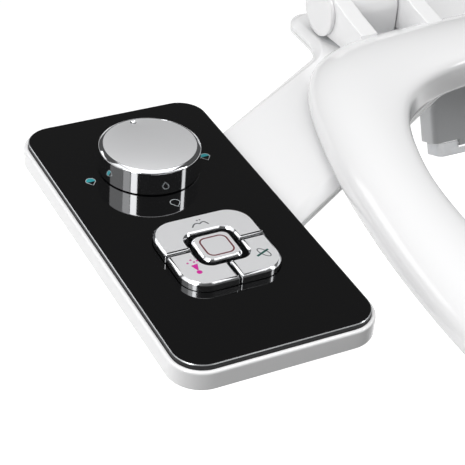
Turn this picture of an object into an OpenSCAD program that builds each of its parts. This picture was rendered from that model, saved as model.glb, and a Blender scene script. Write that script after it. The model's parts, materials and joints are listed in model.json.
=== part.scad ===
// Electric bidet seat: a glass control panel beside the bowl, a slim base plate that
// runs under the seat, a nozzle unit that hangs in the bowl, and the hinged seat ring.
// Millimetres. X to the right, Y to the rear, Z up. The origin lies midway between the
// two hinge bolts, on the underside of the base plate, which rests on the bowl's rim.

/* [Control panel] */
// Width of the glass, left to right
glass_w = 90; // [84:1:96]
// Length of the glass, front to rear
glass_l = 182; // [176:1:190]
// Corner radius of the glass
glass_r = 13; // [11:0.5:16]
// Height of the glass face above the bowl's rim
glass_z = 10; // [9.5:0.1:10.5]
// Width of the white rim round the glass
rim_w = 2; // [1.8:0.1:3]
// Gap between the toilet's centreline and the near edge of the glass
glass_offset = 192; // [190:1:200]
// Depth of the valve box under the panel
belly_d = 19.5; // [19:0.5:24]

/* [Knob] */
// Radius of the knob
knob_r = 23.4; // [22.5:0.1:24.5]
// Height of the knob's top above the glass
knob_h = 12.8; // [12:0.1:14]
// Gap under the knob
knob_gap = 0.4; // [0.3:0.1:0.8]

/* [Buttons] */
// Side of the square button pad
pad_w = 46.8; // [46:0.1:48]
// Corner radius of the button pad
pad_r = 11.5; // [10:0.5:13]
// Height of the buttons above the glass
pad_h = 4.25; // [3.5:0.05:5]
// Side of the middle button
stop_w = 18.4; // [17.5:0.1:19]
// Gap between two buttons
button_gap = 1; // [0.8:0.1:1.2]

/* [Base plate] */
// Half the width of the plate across the bowl
deck_half = 105; // [104:1:108]
// Thickness of the plate
deck_t = 6.4; // [6.4:0.1:6.8]
// Distance between the two hinge bolts
bolt_pitch = 146; // [145:0.5:147]
// Radius of the hinge bolts
bolt_r = 4; // [3.5:0.1:4.1]
// Length of the bolts below the plate
bolt_drop = 60; // [50:1:80]

/* [Nozzle unit] */
// Half the width of the unit
unit_half = 50; // [49:0.5:50]
// Thickness of the unit
unit_t = 15.3; // [15:0.1:16]
// Length of the unit along its lean
unit_l = 49; // [48:0.5:52]
// Lean of the unit from the vertical
unit_lean = 23; // [21:0.5:24]
// Radius of a nozzle tube
nozzle_r = 3.5; // [3.3:0.1:3.6]

/* [Seat ring] */
// Height of the seat's top above the bowl's rim
seat_z = 30; // [29:0.5:33]
// Height of the seat's underside above the bowl's rim
seat_under = 10; // [9.5:0.5:11]
// Height of the seat's hinge axis
hinge_z = 22; // [21.5:0.5:23]
// Radius of the hinge barrel
barrel_r = 13; // [12:0.5:14]

/* [Hidden] */
$fn = 64;

wall = 2;                          // wall of the panel's shells
fit = 0.05;                        // running clearance round a shaft
white = [0.93, 0.93, 0.94];
grey = [0.72, 0.73, 0.75];
black = [0.06, 0.06, 0.07];
chrome = [0.80, 0.81, 0.83];
brass = [0.80, 0.66, 0.36];

// Panel
panel_x = -glass_offset - glass_w / 2;
panel_y = -131;
deck_top = glass_z - 3.5;          // the shelf that carries the gasket and the glass
deck_low = deck_top - 1.8;
wall_low = -1.5;
plate_top = 0.5;                   // inner face of the bottom cover's plate
belly_x = [-268, -200];
belly_y = [-196, -52];
screw_x = glass_w / 2 - 6.5;
screw_y = glass_l / 2 - 7.5;
screw_r = 1.2;
screw_head_r = 2.5;
screw_key_r = 1;                   // hexagon socket in a screw's head
screw_hole_r = 1.35;
screw_recess_r = 2.6;

// Knob and valve
knob_y = -87.3;
knob_base = glass_z + knob_gap;
knob_top = glass_z + knob_h;
knob_ceiling = knob_top - 3.4;
knob_seat = 18.4;                  // where the spindle ends inside the knob
cap_t = 0.9;
knob_chamfer = 1.7;
spindle_r = 3;
valve_r = 11;
valve_neck_r = 8;

// Button pad: the cross cut lies a little behind the middle of the pad
pad_y = -157.7;
cut_y = 0.9;
pocket_w = 22.8;
pad_top = glass_z + pad_h;
button_low = 6.2;
flange_low = 5;
flange_w = 1.2;
stem_r = 2.2;
stem_low = -1.3;
frame_top = 2.6;
board_top = -4.5;
board_at = [-265, -188];
board_w = 56;
stem_rear = [0, 17.5];
stem_front = [-16, -13];
stem_clean = [16, -13];
stem_stop = [0, 0];

// Valves: three solenoids in a row on one manifold under the board
outlet_x = [-219, -237, -255];
manifold_y = -134;
manifold_z = -12;
tube_r = 1.5;
tube_z = 3.2;
lane_y = [-125, -119, -113];       // where the tubes pass from the panel to the plate
inlet_xy = [-214.6, -67];
inlet_r = 10.45;                   // crest radius of a half inch pipe thread
inlet_neck_r = 10;
thread_l = 12.3;
feed_x = -229;
gland_xy = [-240, -64];
gland_bore = 2.6;

// Base plate
shell_split = 2;                   // the tray's edge meets the cover's edge here
floor_t = 1.6;
ceiling_z = deck_t - 1.6;
side_wall = 2.2;
chamfer_run = 4;
chamfer_drop = 2.2;
bolt_x = bolt_pitch / 2;
disc_r = 22;
disc_flange_r = 26;
disc_gap = 0.3;
ring_r = 28;                       // outside of the seat that carries a disc
panel_wall_x = -glass_offset + rim_w;
tongue_x = panel_wall_x - 10;
base_screw_at = [[-170, -80], [-120, -50], [-95, -79], [0, 20],
    [98.5, -52], [98.5, 21.5], [-98.5, 21.5]];
pad_at = [[-94, -54], [94, -42], [-28, 14], [28, 14]];
grip_r = 6.9;

// Nozzle unit
unit_y = -26.8;
unit_wall = 2;
nozzle_x = 9;
carrier_half = 22;
carrier_top = -3;
carrier_low = -44;
ledge_t = 2;
collar_r = 4.5;
nozzle_low = -46;
tip_l = 9;
gate_pin_r = 1;
gate_pin_at = [0, -6.1, -51.2];
gate_half = 46.5;
gate_top = -49.6;
gate_low = -57;
gate_wall = 1.4;
gate_front = -6.8;
gate_eye_x = [-27.4, 20.4];
lug_x = [-34, 28];
lug_w = 6;
lug_low = -52.9;

// Seat ring: half outlines from the rear centre to the front centre
seat_outer = [[0, -26], [52, -27], [98, -31], [124, -42], [141, -64], [154, -100], [166, -150],
    [174, -215], [174, -280], [161, -345], [128, -403], [70, -437], [0, -447]];
seat_inner = [[0, -77], [40, -78], [76, -84], [100, -97], [115, -115], [126, -140], [134, -172],
    [137, -215], [134, -270], [121, -322], [92, -364], [50, -388], [0, -396]];
// Section, outer edge to inner edge: share of the way from the inner edge, share of the height
seat_section = [[0.98, 0], [1, 0.22], [0.96, 0.48], [0.84, 0.75], [0.68, 0.91], [0.4, 1],
    [0.14, 0.94], [0.05, 0.86], [0, 0.7], [0, 0.2], [0.04, 0]];
knuckle_in = [48, 58];
knuckle_out = [88, 98];
post_x = [59, 87];
pin_r = 3;
shank_r = bolt_r - 0.2;
bumper_at = [[151, -190], [118, -385]];

// Plain shapes -----------------------------------------------------------------------

function unit(v) = v / norm(v);

function arc(c, r, from, to, n) =
    [for (i = [0:n]) let (a = from + (to - from) * i / n) c + r * [cos(a), sin(a)]];

// The outline moved inwards by d; the points run anticlockwise
function inset(p, d) = let (n = len(p)) [for (i = [0:n - 1])
    let (u = unit(p[i] - p[(i + n - 1) % n]), v = unit(p[(i + 1) % n] - p[i]),
         a = [-u.y, u.x], b = [-v.y, v.x]) p[i] + (a + b) * d / (1 + a * b)];

function spline(a, b, c, d, t) = 0.5 * ((2 * b) + (c - a) * t + (2 * a - 5 * b + 4 * c - d) * t * t
    + (3 * b - a - 3 * c + d) * t * t * t);

function mirrored(p) = [-p.x, p.y];

// A smooth half outline through the points of p, with k steps to each interval
function smooth_half(p, k) = let (n = len(p)) [for (i = [0:n - 2]) for (j = [0:k - 1])
    spline(i == 0 ? mirrored(p[1]) : p[i - 1], p[i], p[i + 1],
        i == n - 2 ? mirrored(p[n - 2]) : p[i + 2], j / k)];

// The whole closed outline, anticlockwise from the rear centre over the left side
function closed_outline(p, k) = let (h = smooth_half(p, k), last = p[len(p) - 1])
    concat([for (q = h) mirrored(q)], [last], [for (i = [len(h) - 1:-1:1]) h[i]]);

module rounded(w, l, r) {
    square([w - 2 * r, l], center = true);
    square([w, l - 2 * r], center = true);
    for (x = [-1, 1]) for (y = [-1, 1])
        translate([x * (w / 2 - r), y * (l / 2 - r)]) circle(r);
}

module slab(w, l, r, z0, z1) {
    translate([0, 0, z0]) linear_extrude(z1 - z0) rounded(w, l, r);
}

module box(lo, hi) {
    translate(lo) cube(hi - lo);
}

module rod(a, b, r) {
    d = b - a;
    translate(a) rotate([0, acos(d.z / norm(d)), atan2(d.y, d.x)]) cylinder(h = norm(d), r = r);
}

function heading(p, i) = unit((i == 0 ? [0, 0, 0] : unit(p[i] - p[i - 1]))
    + (i == len(p) - 1 ? [0, 0, 0] : unit(p[i + 1] - p[i])));

// One side direction for each point, carried along the route without twist
function sides_along(p, i, s) = i == len(p) ? []
    : let (t = heading(p, i), q = unit(s - (s * t) * t)) concat([q], sides_along(p, i + 1, q));

// A bent pipe swept through the points of p
module pipe(p, r) {
    n = 10;
    side = sides_along(p, 0, [1, 0, 0.1]);
    pts = [for (i = [0:len(p) - 1]) for (j = [0:n - 1])
        p[i] + r * (cos(j * 360 / n) * side[i] + sin(j * 360 / n) * cross(heading(p, i), side[i]))];
    skin = [for (i = [0:len(p) - 2]) for (j = [0:n - 1]) let (k = (j + 1) % n)
        [i * n + j, i * n + n + j, i * n + n + k, i * n + k]];
    polyhedron(pts, concat(skin, [[for (j = [0:n - 1]) j]], [[for (j = [n:-1:1]) len(pts) - n + j - 1]]));
}

// A coil spring that stands on z = 0
module coil(r, wire, turns, height) {
    sides = 6;
    steps = turns * 14;
    rise = (height - wire) / steps;
    pts = [for (i = [0:steps]) for (j = [0:sides - 1])
        let (a = i * 360 / 14, b = j * 360 / sides, q = r + wire / 2 * cos(b))
        [q * cos(a), q * sin(a), wire / 2 + i * rise + wire / 2 * sin(b)]];
    skin = [for (i = [0:steps - 1]) for (j = [0:sides - 1])
        let (k = (j + 1) % sides, m = i * sides) [m + j, m + sides + j, m + sides + k, m + k]];
    ends = [[for (j = [0:sides - 1]) j], [for (j = [sides - 1:-1:0]) steps * sides + j]];
    polyhedron(pts, concat(skin, ends));
}

function raised(p, z) = [for (q = p) [q.x, q.y, z]];

// A closed ring: each loop runs round the ring, and the loops follow its section
module loop_solid(loops) {
    m = len(loops);
    n = len(loops[0]);
    pts = [for (i = [0:n - 1]) for (j = [0:m - 1]) loops[j][i]];
    faces = [for (i = [0:n - 1]) for (j = [0:m - 1]) let (a = (i + 1) % n, b = (j + 1) % m)
        [i * m + j, i * m + b, a * m + b, a * m + j]];
    polyhedron(pts, faces, convexity = 4);
}

module at_panel() {
    translate([panel_x, panel_y, 0]) children();
}

module at_panel_screws() {
    at_panel() for (x = [-1, 1]) for (y = [-1, 1])
        translate([x * screw_x, y * screw_y, 0]) children();
}

module at_knob() {
    translate([panel_x, knob_y, 0]) children();
}

module at_pad() {
    translate([panel_x, pad_y, 0]) children();
}

module at_unit() {
    translate([0, unit_y, 0]) rotate([-unit_lean, 0, 0]) children();
}

module both_sides() {
    children();
    mirror([1, 0, 0]) children();
}

// Control panel ----------------------------------------------------------------------

module panel_housing() color(white) difference() {
    union() {
        at_panel() difference() {
            slab(glass_w + 2 * rim_w, glass_l + 2 * rim_w, glass_r + rim_w, wall_low, glass_z - 2.4);
            slab(glass_w, glass_l, glass_r, wall_low - 1, deck_low);
            slab(glass_w + 0.3, glass_l + 0.3, glass_r + 0.15, deck_top, glass_z);
        }
        at_panel_screws() translate([0, 0, plate_top])
            cylinder(h = deck_low - plate_top + 0.4, r = 3.2);
    }
    at_panel_screws() cylinder(h = 4.2, r = screw_r);
    at_knob() translate([0, 0, deck_low - 1]) cylinder(h = 4, r = valve_neck_r + 0.1);
    at_pad() slab(pad_w + 3.6, pad_w + 3.6, pad_r + 1.8, deck_low - 1, deck_top + 1);
    // the opening in the wall that faces the base plate's arm
    box([panel_wall_x - 3, -144, wall_low - 1], [panel_wall_x + 1, -70.5, deck_low - 0.1]);
}

module panel_cover() color(white) difference() {
    union() {
        at_panel() slab(glass_w - 0.3, glass_l - 0.3, glass_r - 0.15, wall_low, plate_top);
        box([belly_x[0], belly_y[0], -belly_d], [belly_x[1], belly_y[1], wall_low]);
    }
    box([belly_x[0] + wall, belly_y[0] + wall, wall - belly_d],
        [belly_x[1] - wall, belly_y[1] - wall, 1]);
    at_panel_screws() translate([0, 0, -3]) {
        cylinder(h = 6, r = screw_hole_r);
        cylinder(h = 2.9, r = screw_recess_r);
    }
    translate([inlet_xy.x, inlet_xy.y, -belly_d - 1]) cylinder(h = 5, r = inlet_r + fit);
    translate([gland_xy.x, gland_xy.y, -belly_d - 1]) cylinder(h = 5, r = 4.5);
}

module panel_screws() color(chrome) at_panel_screws() difference() {
    union() {
        translate([0, 0, -1.4]) cylinder(h = 1.3, r = screw_head_r);
        translate([0, 0, -0.1]) cylinder(h = 4.2, r = screw_r);
    }
    translate([0, 0, -1.9]) cylinder(h = 1.2, r = screw_key_r, $fn = 6);
}

module glass_plate() color(black) difference() {
    at_panel() slab(glass_w, glass_l, glass_r, glass_z - 3, glass_z);
    at_knob() translate([0, 0, 5]) cylinder(h = 9, r = 13);
    at_pad() slab(pad_w + 0.7, pad_w + 0.7, pad_r + 0.35, 5, 14);
}

module glass_gasket() color([0.2, 0.2, 0.2]) at_panel() difference() {
    slab(glass_w - 1, glass_l - 1, glass_r - 0.5, deck_top, deck_top + 0.5);
    slab(glass_w - 9, glass_l - 9, glass_r - 4.5, deck_top - 1, deck_top + 1);
}

// Knob and flow valve ----------------------------------------------------------------

module knob_body() color(chrome) at_knob() difference() {
    rotate_extrude() polygon([[0, knob_base + 2], [6, knob_base + 2], [6, knob_ceiling],
        [knob_r - 2.4, knob_ceiling], [knob_r - 2.4, knob_base], [knob_r, knob_base],
        [knob_r, knob_top - 1.1], [knob_r - knob_chamfer, knob_top],
        [knob_r - 2, knob_top], [knob_r - 2, knob_top - cap_t], [0, knob_top - cap_t]]);
    translate([0, 0, 5]) cylinder(h = knob_seat - 5, r = spindle_r);
}

module knob_cap() color(grey) at_knob() difference() {
    translate([0, 0, knob_top - cap_t]) cylinder(h = cap_t, r = knob_r - 2.02);
    translate([0, 19, knob_top + 1.6]) sphere(2);
}

module knob_spindle() color(brass) at_knob() {
    translate([0, 0, -4]) cylinder(h = knob_seat + 4, r = spindle_r);
    translate([0, 0, -4]) cylinder(h = 1.2, r = 5.5);
}

module valve_nut() color(brass) at_knob() difference() {
    translate([0, 0, deck_top]) cylinder(h = 2.6, r = 11, $fn = 6);
    translate([0, 0, 5]) cylinder(h = 6, r = valve_neck_r);
}

module spindle_seal() color(black) at_knob() translate([0, 0, 5.5]) difference() {
    cylinder(h = 1.8, r = 5);
    translate([0, 0, -1]) cylinder(h = 4, r = spindle_r + fit);
}

module flow_valve_body() color(brass) at_knob() difference() {
    union() {
        translate([0, 0, -17]) cylinder(h = 15, r = valve_r);
        translate([0, 0, -3]) cylinder(h = 12, r = valve_neck_r);
    }
    translate([0, 0, -9]) cylinder(h = 7, r = 7);
    translate([0, 0, -3]) cylinder(h = 9, r = spindle_r + fit);
    translate([0, 0, 5.5]) cylinder(h = 9, r = 5);
    translate([0, 0, -15]) cylinder(h = 7, r = 4);
}

module valve_disc_fixed() color("ivory") at_knob() difference() {
    translate([0, 0, -9]) cylinder(h = 2.4, r = 6.9);
    translate([3.6, 0, -10]) cylinder(h = 6, r = 1.6);
    translate([-3.6, 0, -10]) cylinder(h = 6, r = 1.6);
}

module valve_disc_turning() color("ivory") at_knob() difference() {
    translate([0, 0, -6.4]) cylinder(h = 2.4, r = 6.6);
    translate([3.6, 0, -7]) cylinder(h = 2.2, r = 1.6);
}

// Buttons ----------------------------------------------------------------------------

module pad_area(grow) difference() {
    rounded(pad_w + 2 * grow, pad_w + 2 * grow, pad_r + grow);
    rounded(pocket_w, pocket_w, 5.2);
}

// The part of the pad inside the rectangle from lo to hi, with its hidden flange
module pad_piece(lo, hi) {
    translate([0, 0, button_low]) linear_extrude(pad_top - button_low) intersection() {
        pad_area(0);
        translate(lo) square(hi - lo);
    }
    translate([0, 0, flange_low]) linear_extrude(button_low - flange_low) intersection() {
        pad_area(flange_w);
        translate(lo) square(hi - lo);
    }
}

module stem(at) {
    translate([at.x, at.y, stem_low]) cylinder(h = flange_low - stem_low + 0.5, r = stem_r);
}

module button_rear_wash() color(chrome) at_pad() {
    pad_piece([-30, cut_y + button_gap / 2], [30, 30]);
    stem(stem_rear);
}

module button_front_wash() color(chrome) at_pad() {
    pad_piece([-30, -30], [-button_gap / 2, cut_y - button_gap / 2]);
    stem(stem_front);
}

module button_nozzle_clean() color(chrome) at_pad() {
    pad_piece([button_gap / 2, -30], [30, cut_y - button_gap / 2]);
    stem(stem_clean);
}

module button_stop() color(chrome) at_pad() {
    slab(stop_w, stop_w, 4.2, flange_low, pad_top);
    stem(stem_stop);
}

module button_spring(at) color(grey) at_pad() translate([at.x, at.y, frame_top])
    coil(2.85, 0.45, 3, flange_low - frame_top);

module spring_rear_wash() button_spring(stem_rear);

module spring_front_wash() button_spring(stem_front);

module spring_nozzle_clean() button_spring(stem_clean);

module spring_stop() button_spring(stem_stop);

module button_frame() color(black) at_pad() difference() {
    slab(58, 58, 15, 1, deck_low);
    slab(51, 51, 13, frame_top, deck_low + 1);
    for (s = [stem_rear, stem_front, stem_clean, stem_stop])
        translate([s.x, s.y, -1]) cylinder(h = 6, r = stem_r + fit);
}

module control_board() color([0.1, 0.35, 0.2])
    translate([board_at.x, board_at.y, board_top - 1.6]) cube([board_w, board_w, 1.6]);

module tact_switches() color(black) at_pad() for (s = [stem_rear, stem_front, stem_clean, stem_stop])
    translate([s.x, s.y, board_top]) {
        translate([-3, -3, 0]) cube([6, 6, 1.5]);
        cylinder(h = 2, r = 1.7);
    }

// Valves and water way ---------------------------------------------------------------

module valve_manifold() color(grey) difference() {
    box([-260, manifold_y - 12, -17.4], [-214, manifold_y, -6.6]);
    for (x = outlet_x) rod([x, manifold_y - 13, manifold_z], [x, manifold_y - 3, manifold_z], 1.8);
    rod([feed_x, manifold_y - 6, manifold_z], [feed_x, manifold_y + 1, manifold_z], 2.5);
}

module solenoid(x) {
    color([0.15, 0.25, 0.5]) difference() {
        rod([x, manifold_y - 44, manifold_z], [x, manifold_y - 14, manifold_z], 5.2);
        rod([x, manifold_y - 50, manifold_z], [x, manifold_y - 38, manifold_z], 2);
    }
    color(grey) rod([x, manifold_y - 38, manifold_z], [x, manifold_y - 12, manifold_z], 2);
}

module solenoid_rear_wash() solenoid(outlet_x[0]);

module solenoid_front_wash() solenoid(outlet_x[1]);

module solenoid_nozzle_clean() solenoid(outlet_x[2]);

module feed_tubes() color([0.85, 0.9, 0.95]) difference() {
    union() {
        rod([inlet_xy.x, inlet_xy.y, -10], [panel_x, knob_y, -10], 3);
        rod([feed_x, knob_y, manifold_z], [feed_x, manifold_y - 5.9, manifold_z], 2.4);
    }
    translate([inlet_xy.x, inlet_xy.y, -20]) cylinder(h = 20, r = 6);
    at_knob() translate([0, 0, -20]) cylinder(h = 20, r = valve_r);
}

module inlet_nipple() color(brass) translate([inlet_xy.x, inlet_xy.y, 0]) difference() {
    union() {
        translate([0, 0, -belly_d - 14]) cylinder(h = thread_l, r = inlet_r);
        translate([0, 0, -belly_d - 14]) cylinder(h = 16, r = inlet_neck_r);
        translate([0, 0, wall - belly_d]) cylinder(h = 3, r = 12);
        translate([0, 0, wall - belly_d]) cylinder(h = 12, r = 6);
    }
    translate([0, 0, -belly_d - 15]) cylinder(h = 24, r = 4);
    translate([0, 0, -belly_d - 15]) cylinder(h = 11, r = 7.5);
}

module inlet_filter() color(chrome) translate([inlet_xy.x, inlet_xy.y, -belly_d - 12]) difference() {
    cylinder(h = 8, r = 7.4);
    translate([0, 0, 1]) cylinder(h = 9, r = 6.6);
}

module inlet_seal() color(black) translate([inlet_xy.x, inlet_xy.y, 0]) difference() {
    translate([0, 0, -belly_d - 1.6]) cylinder(h = 1.6, r = 13);
    translate([0, 0, -belly_d - 3]) cylinder(h = 5, r = inlet_neck_r + fit);
}

module lead_gland() color(black) translate([gland_xy.x, gland_xy.y, 0]) difference() {
    union() {
        translate([0, 0, -belly_d - 8]) cylinder(h = 8, r = 6);
        translate([0, 0, -belly_d - 1]) cylinder(h = 6, r = 4.5);
    }
    translate([0, 0, -belly_d - 9]) cylinder(h = 16, r = gland_bore);
}

function tube_route(k, last) = concat([[outlet_x[k], manifold_y, manifold_z],
    [outlet_x[k], lane_y[k], manifold_z], [outlet_x[k], lane_y[k], tube_z],
    [panel_wall_x, lane_y[k], tube_z]], last);

module tube_rear_wash() color([0.9, 0.93, 0.96]) pipe(tube_route(0,
    [[-70, -54, tube_z], [-30, -45, tube_z], [30, -45, tube_z],
    [36, -36, tube_z], [31, -30.5, tube_z], [22, -28.5, 1]]), tube_r);

module tube_front_wash() color([0.9, 0.93, 0.96]) pipe(tube_route(1,
    [[-72, -48, tube_z], [-38, -34, tube_z], [-31, -30.5, tube_z], [-22, -28.5, 1]]), tube_r);

module tube_nozzle_clean() color([0.9, 0.93, 0.96]) pipe(tube_route(2,
    [[-74, -42, tube_z], [-40, -25, tube_z], [-22, -23.8, -1]]), tube_r);

// Base plate -------------------------------------------------------------------------

// Plan of the plate and its arm, anticlockwise from the right front corner
arm_rise = 31.6;
fillet = 22;
base_outline = concat(
    arc([deck_half - 12, -50], 12, -90, 0, 8),
    arc([deck_half - 12, 16], 12, 0, 90, 8),
    arc([12 - deck_half, 16], 12, 90, 180, 8),
    arc([-deck_half - fillet, -1.2], fillet, 0, -57.7, 8),
    [[-202, -74.6], [-202, -153.4]],
    arc([-36.4, -122], 60, 90 + arm_rise, 90, 6));

module base_body(d, z0, z1) {
    translate([0, 0, z0]) linear_extrude(z1 - z0) polygon(inset(base_outline, d));
}

module beyond_panel_wall() {
    box([-260, -200, -5], [panel_wall_x + 0.05, 0, 20]);
}

module disc_seats(r, z0, z1) both_sides() translate([bolt_x, 0, z0]) cylinder(h = z1 - z0, r = r);

module unit_flange(grow, top) {
    box([-46 - grow, -41 - grow, 0.6], [46 + grow, -33.4, top]);
    box([-44 - grow, -19, 0.6], [44 + grow, -12 + grow, top]);
}

module base_tray() color(white) difference() {
    union() {
        difference() {
            base_body(0, 0, shell_split);
            base_body(side_wall, floor_t, shell_split + 1);
            beyond_panel_wall();
        }
        difference() {
            intersection() {
                base_body(3.2, 0.6, shell_split);
                box([tongue_x, -200, 0], [panel_wall_x + 4, 0, 20]);
            }
            for (y = lane_y) rod([-210, y, tube_z], [-180, y, tube_z], 2);
        }
        disc_seats(ring_r, 0, 4.4);
    }
    disc_seats(disc_r + disc_gap, -1, 8);
    box([-unit_half - 0.5, -36.6, -1], [unit_half + 0.5, -17.3, 8]);
    unit_flange(0.2, floor_t);
    for (p = base_screw_at) translate([p.x, p.y, -1]) {
        cylinder(h = 5, r = screw_hole_r);
        cylinder(h = 2, r = screw_recess_r);
    }
    for (p = pad_at) translate([p.x, p.y, -1]) cylinder(h = 2, r = grip_r + 0.1);
}

// The top of the cover: a chamfered border round a flat middle
module chamfered_top() {
    low = deck_t - chamfer_drop;
    edge = inset(base_outline, chamfer_run);
    inner = inset(base_outline, chamfer_run + 3);
    loop_solid([raised(base_outline, low), raised(edge, deck_t), raised(inner, deck_t),
        raised(inner, low)]);
    base_body(chamfer_run + 2, low, deck_t);
}

module base_cover() color(white) difference() {
    union() {
        difference() {
            union() {
                base_body(0, shell_split, deck_t - chamfer_drop);
                chamfered_top();
            }
            difference() {
                base_body(side_wall, shell_split - 1, ceiling_z);
                for (p = base_screw_at) translate([p.x, p.y, 0]) cylinder(h = 6, r = 3);
            }
        }
        for (p = base_screw_at) translate([p.x, p.y, floor_t]) cylinder(h = 1, r = 3);
    }
    beyond_panel_wall();
    disc_seats(ring_r + 0.1, -1, 4.4);
    disc_seats(disc_flange_r + disc_gap, 4, 8);
    for (p = base_screw_at) translate([p.x, p.y, -1]) cylinder(h = 5.8, r = screw_r);
}

module base_screws() color(chrome) for (p = base_screw_at) translate([p.x, p.y, 0]) difference() {
    union() {
        cylinder(h = 0.95, r = screw_head_r);
        cylinder(h = 4.6, r = screw_r);
    }
    translate([0, 0, -1]) cylinder(h = 1.6, r = screw_key_r, $fn = 6);
}

module base_pads() color([0.25, 0.25, 0.25]) for (p = pad_at)
    translate([p.x, p.y, 0]) cylinder(h = 1, r = grip_r);

module adjuster_disc() difference() {
    union() {
        translate([bolt_x, 0, 0.3]) cylinder(h = 4.6, r = disc_r);
        translate([bolt_x, 0, 4.6]) cylinder(h = 1.6, r = disc_flange_r);
    }
    for (y = [-9, 9]) translate([bolt_x, y, -1]) cylinder(h = 9, r = bolt_r + 0.4);
    box([bolt_x - bolt_r - 0.4, -9, -1], [bolt_x + bolt_r + 0.4, 9, 8]);
}

module adjuster_disc_right() color(grey) adjuster_disc();

module adjuster_disc_left() color(grey) mirror([1, 0, 0]) adjuster_disc();

// Seat hinge and seat ring -----------------------------------------------------------

module hinge_bolts() color(chrome) both_sides() translate([bolt_x, 0, 0]) {
    translate([0, 0, -bolt_drop]) cylinder(h = bolt_drop, r = bolt_r);
    cylinder(h = 12, r = shank_r);
    translate([0, 0, 11]) cylinder(h = 4, r = 7);
}

module hinge_post() difference() {
    union() {
        rod([post_x[0], 0, hinge_z], [post_x[1], 0, hinge_z], barrel_r);
        box([post_x[0], -barrel_r, deck_t], [post_x[1], barrel_r, hinge_z]);
    }
    translate([bolt_x, 0, 0]) cylinder(h = 20, r = shank_r + fit);
    translate([bolt_x, 0, 11]) cylinder(h = 30, r = 8);
    rod([0, 0, hinge_z], [120, 0, hinge_z], pin_r);
}

module hinge_post_right() color(white) hinge_post();

module hinge_post_left() color(white) mirror([1, 0, 0]) hinge_post();

module hinge_pins() color(chrome) both_sides()
    rod([knuckle_in[0] + 0.5, 0, hinge_z], [knuckle_out[1] - 0.5, 0, hinge_z], pin_r);

module hinge_caps() color(white) both_sides()
    rod([knuckle_out[1], 0, hinge_z], [knuckle_out[1] + 3, 0, hinge_z], barrel_r + 1);

module knuckle(x) {
    rod([x[0], 0, hinge_z], [x[1], 0, hinge_z], barrel_r);
    translate([x[0], 0, 0]) rotate([90, 0, 90]) linear_extrude(x[1] - x[0])
        polygon([[-40, 12], [-4, hinge_z - 12.3], [0, hinge_z + barrel_r - 0.1], [-22, 29], [-40, 27]]);
}

module ring_solid() {
    outer = closed_outline(seat_outer, 3);
    inner = closed_outline(seat_inner, 3);
    loop_solid([for (s = seat_section) raised(inner + (outer - inner) * s[0],
        seat_under + (seat_z - seat_under) * s[1])]);
}

module seat_ring() color(white) difference() {
    union() {
        ring_solid();
        both_sides() {
            knuckle(knuckle_in);
            knuckle(knuckle_out);
        }
    }
    both_sides() rod([20, 0, hinge_z], [120, 0, hinge_z], pin_r + fit);
}

module seat_bumpers() color(grey) both_sides() for (p = bumper_at)
    translate([p.x, p.y, 0.2]) cylinder(h = seat_under - 0.2, r = 7);

// Nozzle unit ------------------------------------------------------------------------

module nozzle_housing() color(grey) difference() {
    union() {
        difference() {
            at_unit() box([-unit_half, -unit_t / 2, -unit_l], [unit_half, unit_t / 2, 8]);
            box([-60, -60, floor_t], [60, 0, 20]);
            at_unit() box([unit_wall - unit_half, unit_wall - unit_t / 2, -unit_l - 1],
                [unit_half - unit_wall, unit_t / 2 - unit_wall, 12]);
        }
        unit_flange(0, floor_t - 0.1);
        at_unit() for (x = lug_x) box([x, -unit_t / 2, lug_low], [x + lug_w, -4.6, -unit_l + 1.5]);
    }
    at_unit() rod([-60, gate_pin_at.y, gate_pin_at.z], [60, gate_pin_at.y, gate_pin_at.z], gate_pin_r);
}

module nozzle_carrier() color(black) at_unit() difference() {
    box([-carrier_half, -5.5, carrier_low], [carrier_half, 5.5, carrier_top]);
    for (x = [-nozzle_x, nozzle_x]) translate([x, 0, 0]) {
        translate([0, 0, carrier_low - 1]) cylinder(h = 50, r = nozzle_r + fit);
        translate([0, 0, carrier_low + ledge_t]) cylinder(h = 50, r = collar_r + fit);
    }
}

module nozzle_inlet_block() color(grey) at_unit()
    box([-carrier_half, -5.3, carrier_top], [carrier_half, 5.3, 2.4]);

module nozzle(x) at_unit() translate([x, 0, 0]) {
    translate([0, 0, nozzle_low]) cylinder(h = carrier_top - 0.5 - nozzle_low, r = nozzle_r);
    translate([0, 0, carrier_top - 2.5]) cylinder(h = 2, r = collar_r);
}

module nozzle_rear_wash() color(white) nozzle(-nozzle_x);

module nozzle_front_wash() color(white) nozzle(nozzle_x);

module nozzle_tip(x) at_unit() translate([x, 0, nozzle_low]) difference() {
    translate([0, 0, -tip_l]) cylinder(h = tip_l, r = nozzle_r);
    for (k = [0:2]) rod([0, -8, k * 2 - 6.5], [0, 0, k * 2 - 6.5], 0.5);
}

module nozzle_rear_tip() color(chrome) nozzle_tip(-nozzle_x);

module nozzle_front_tip() color(chrome) nozzle_tip(nozzle_x);

module nozzle_spring(x) color(grey) at_unit() translate([x, 0, carrier_low + ledge_t])
    coil(4.02, 0.5, 9, carrier_top - 2.5 - carrier_low - ledge_t);

module spring_nozzle_rear() nozzle_spring(-nozzle_x);

module spring_nozzle_front() nozzle_spring(nozzle_x);

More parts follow.
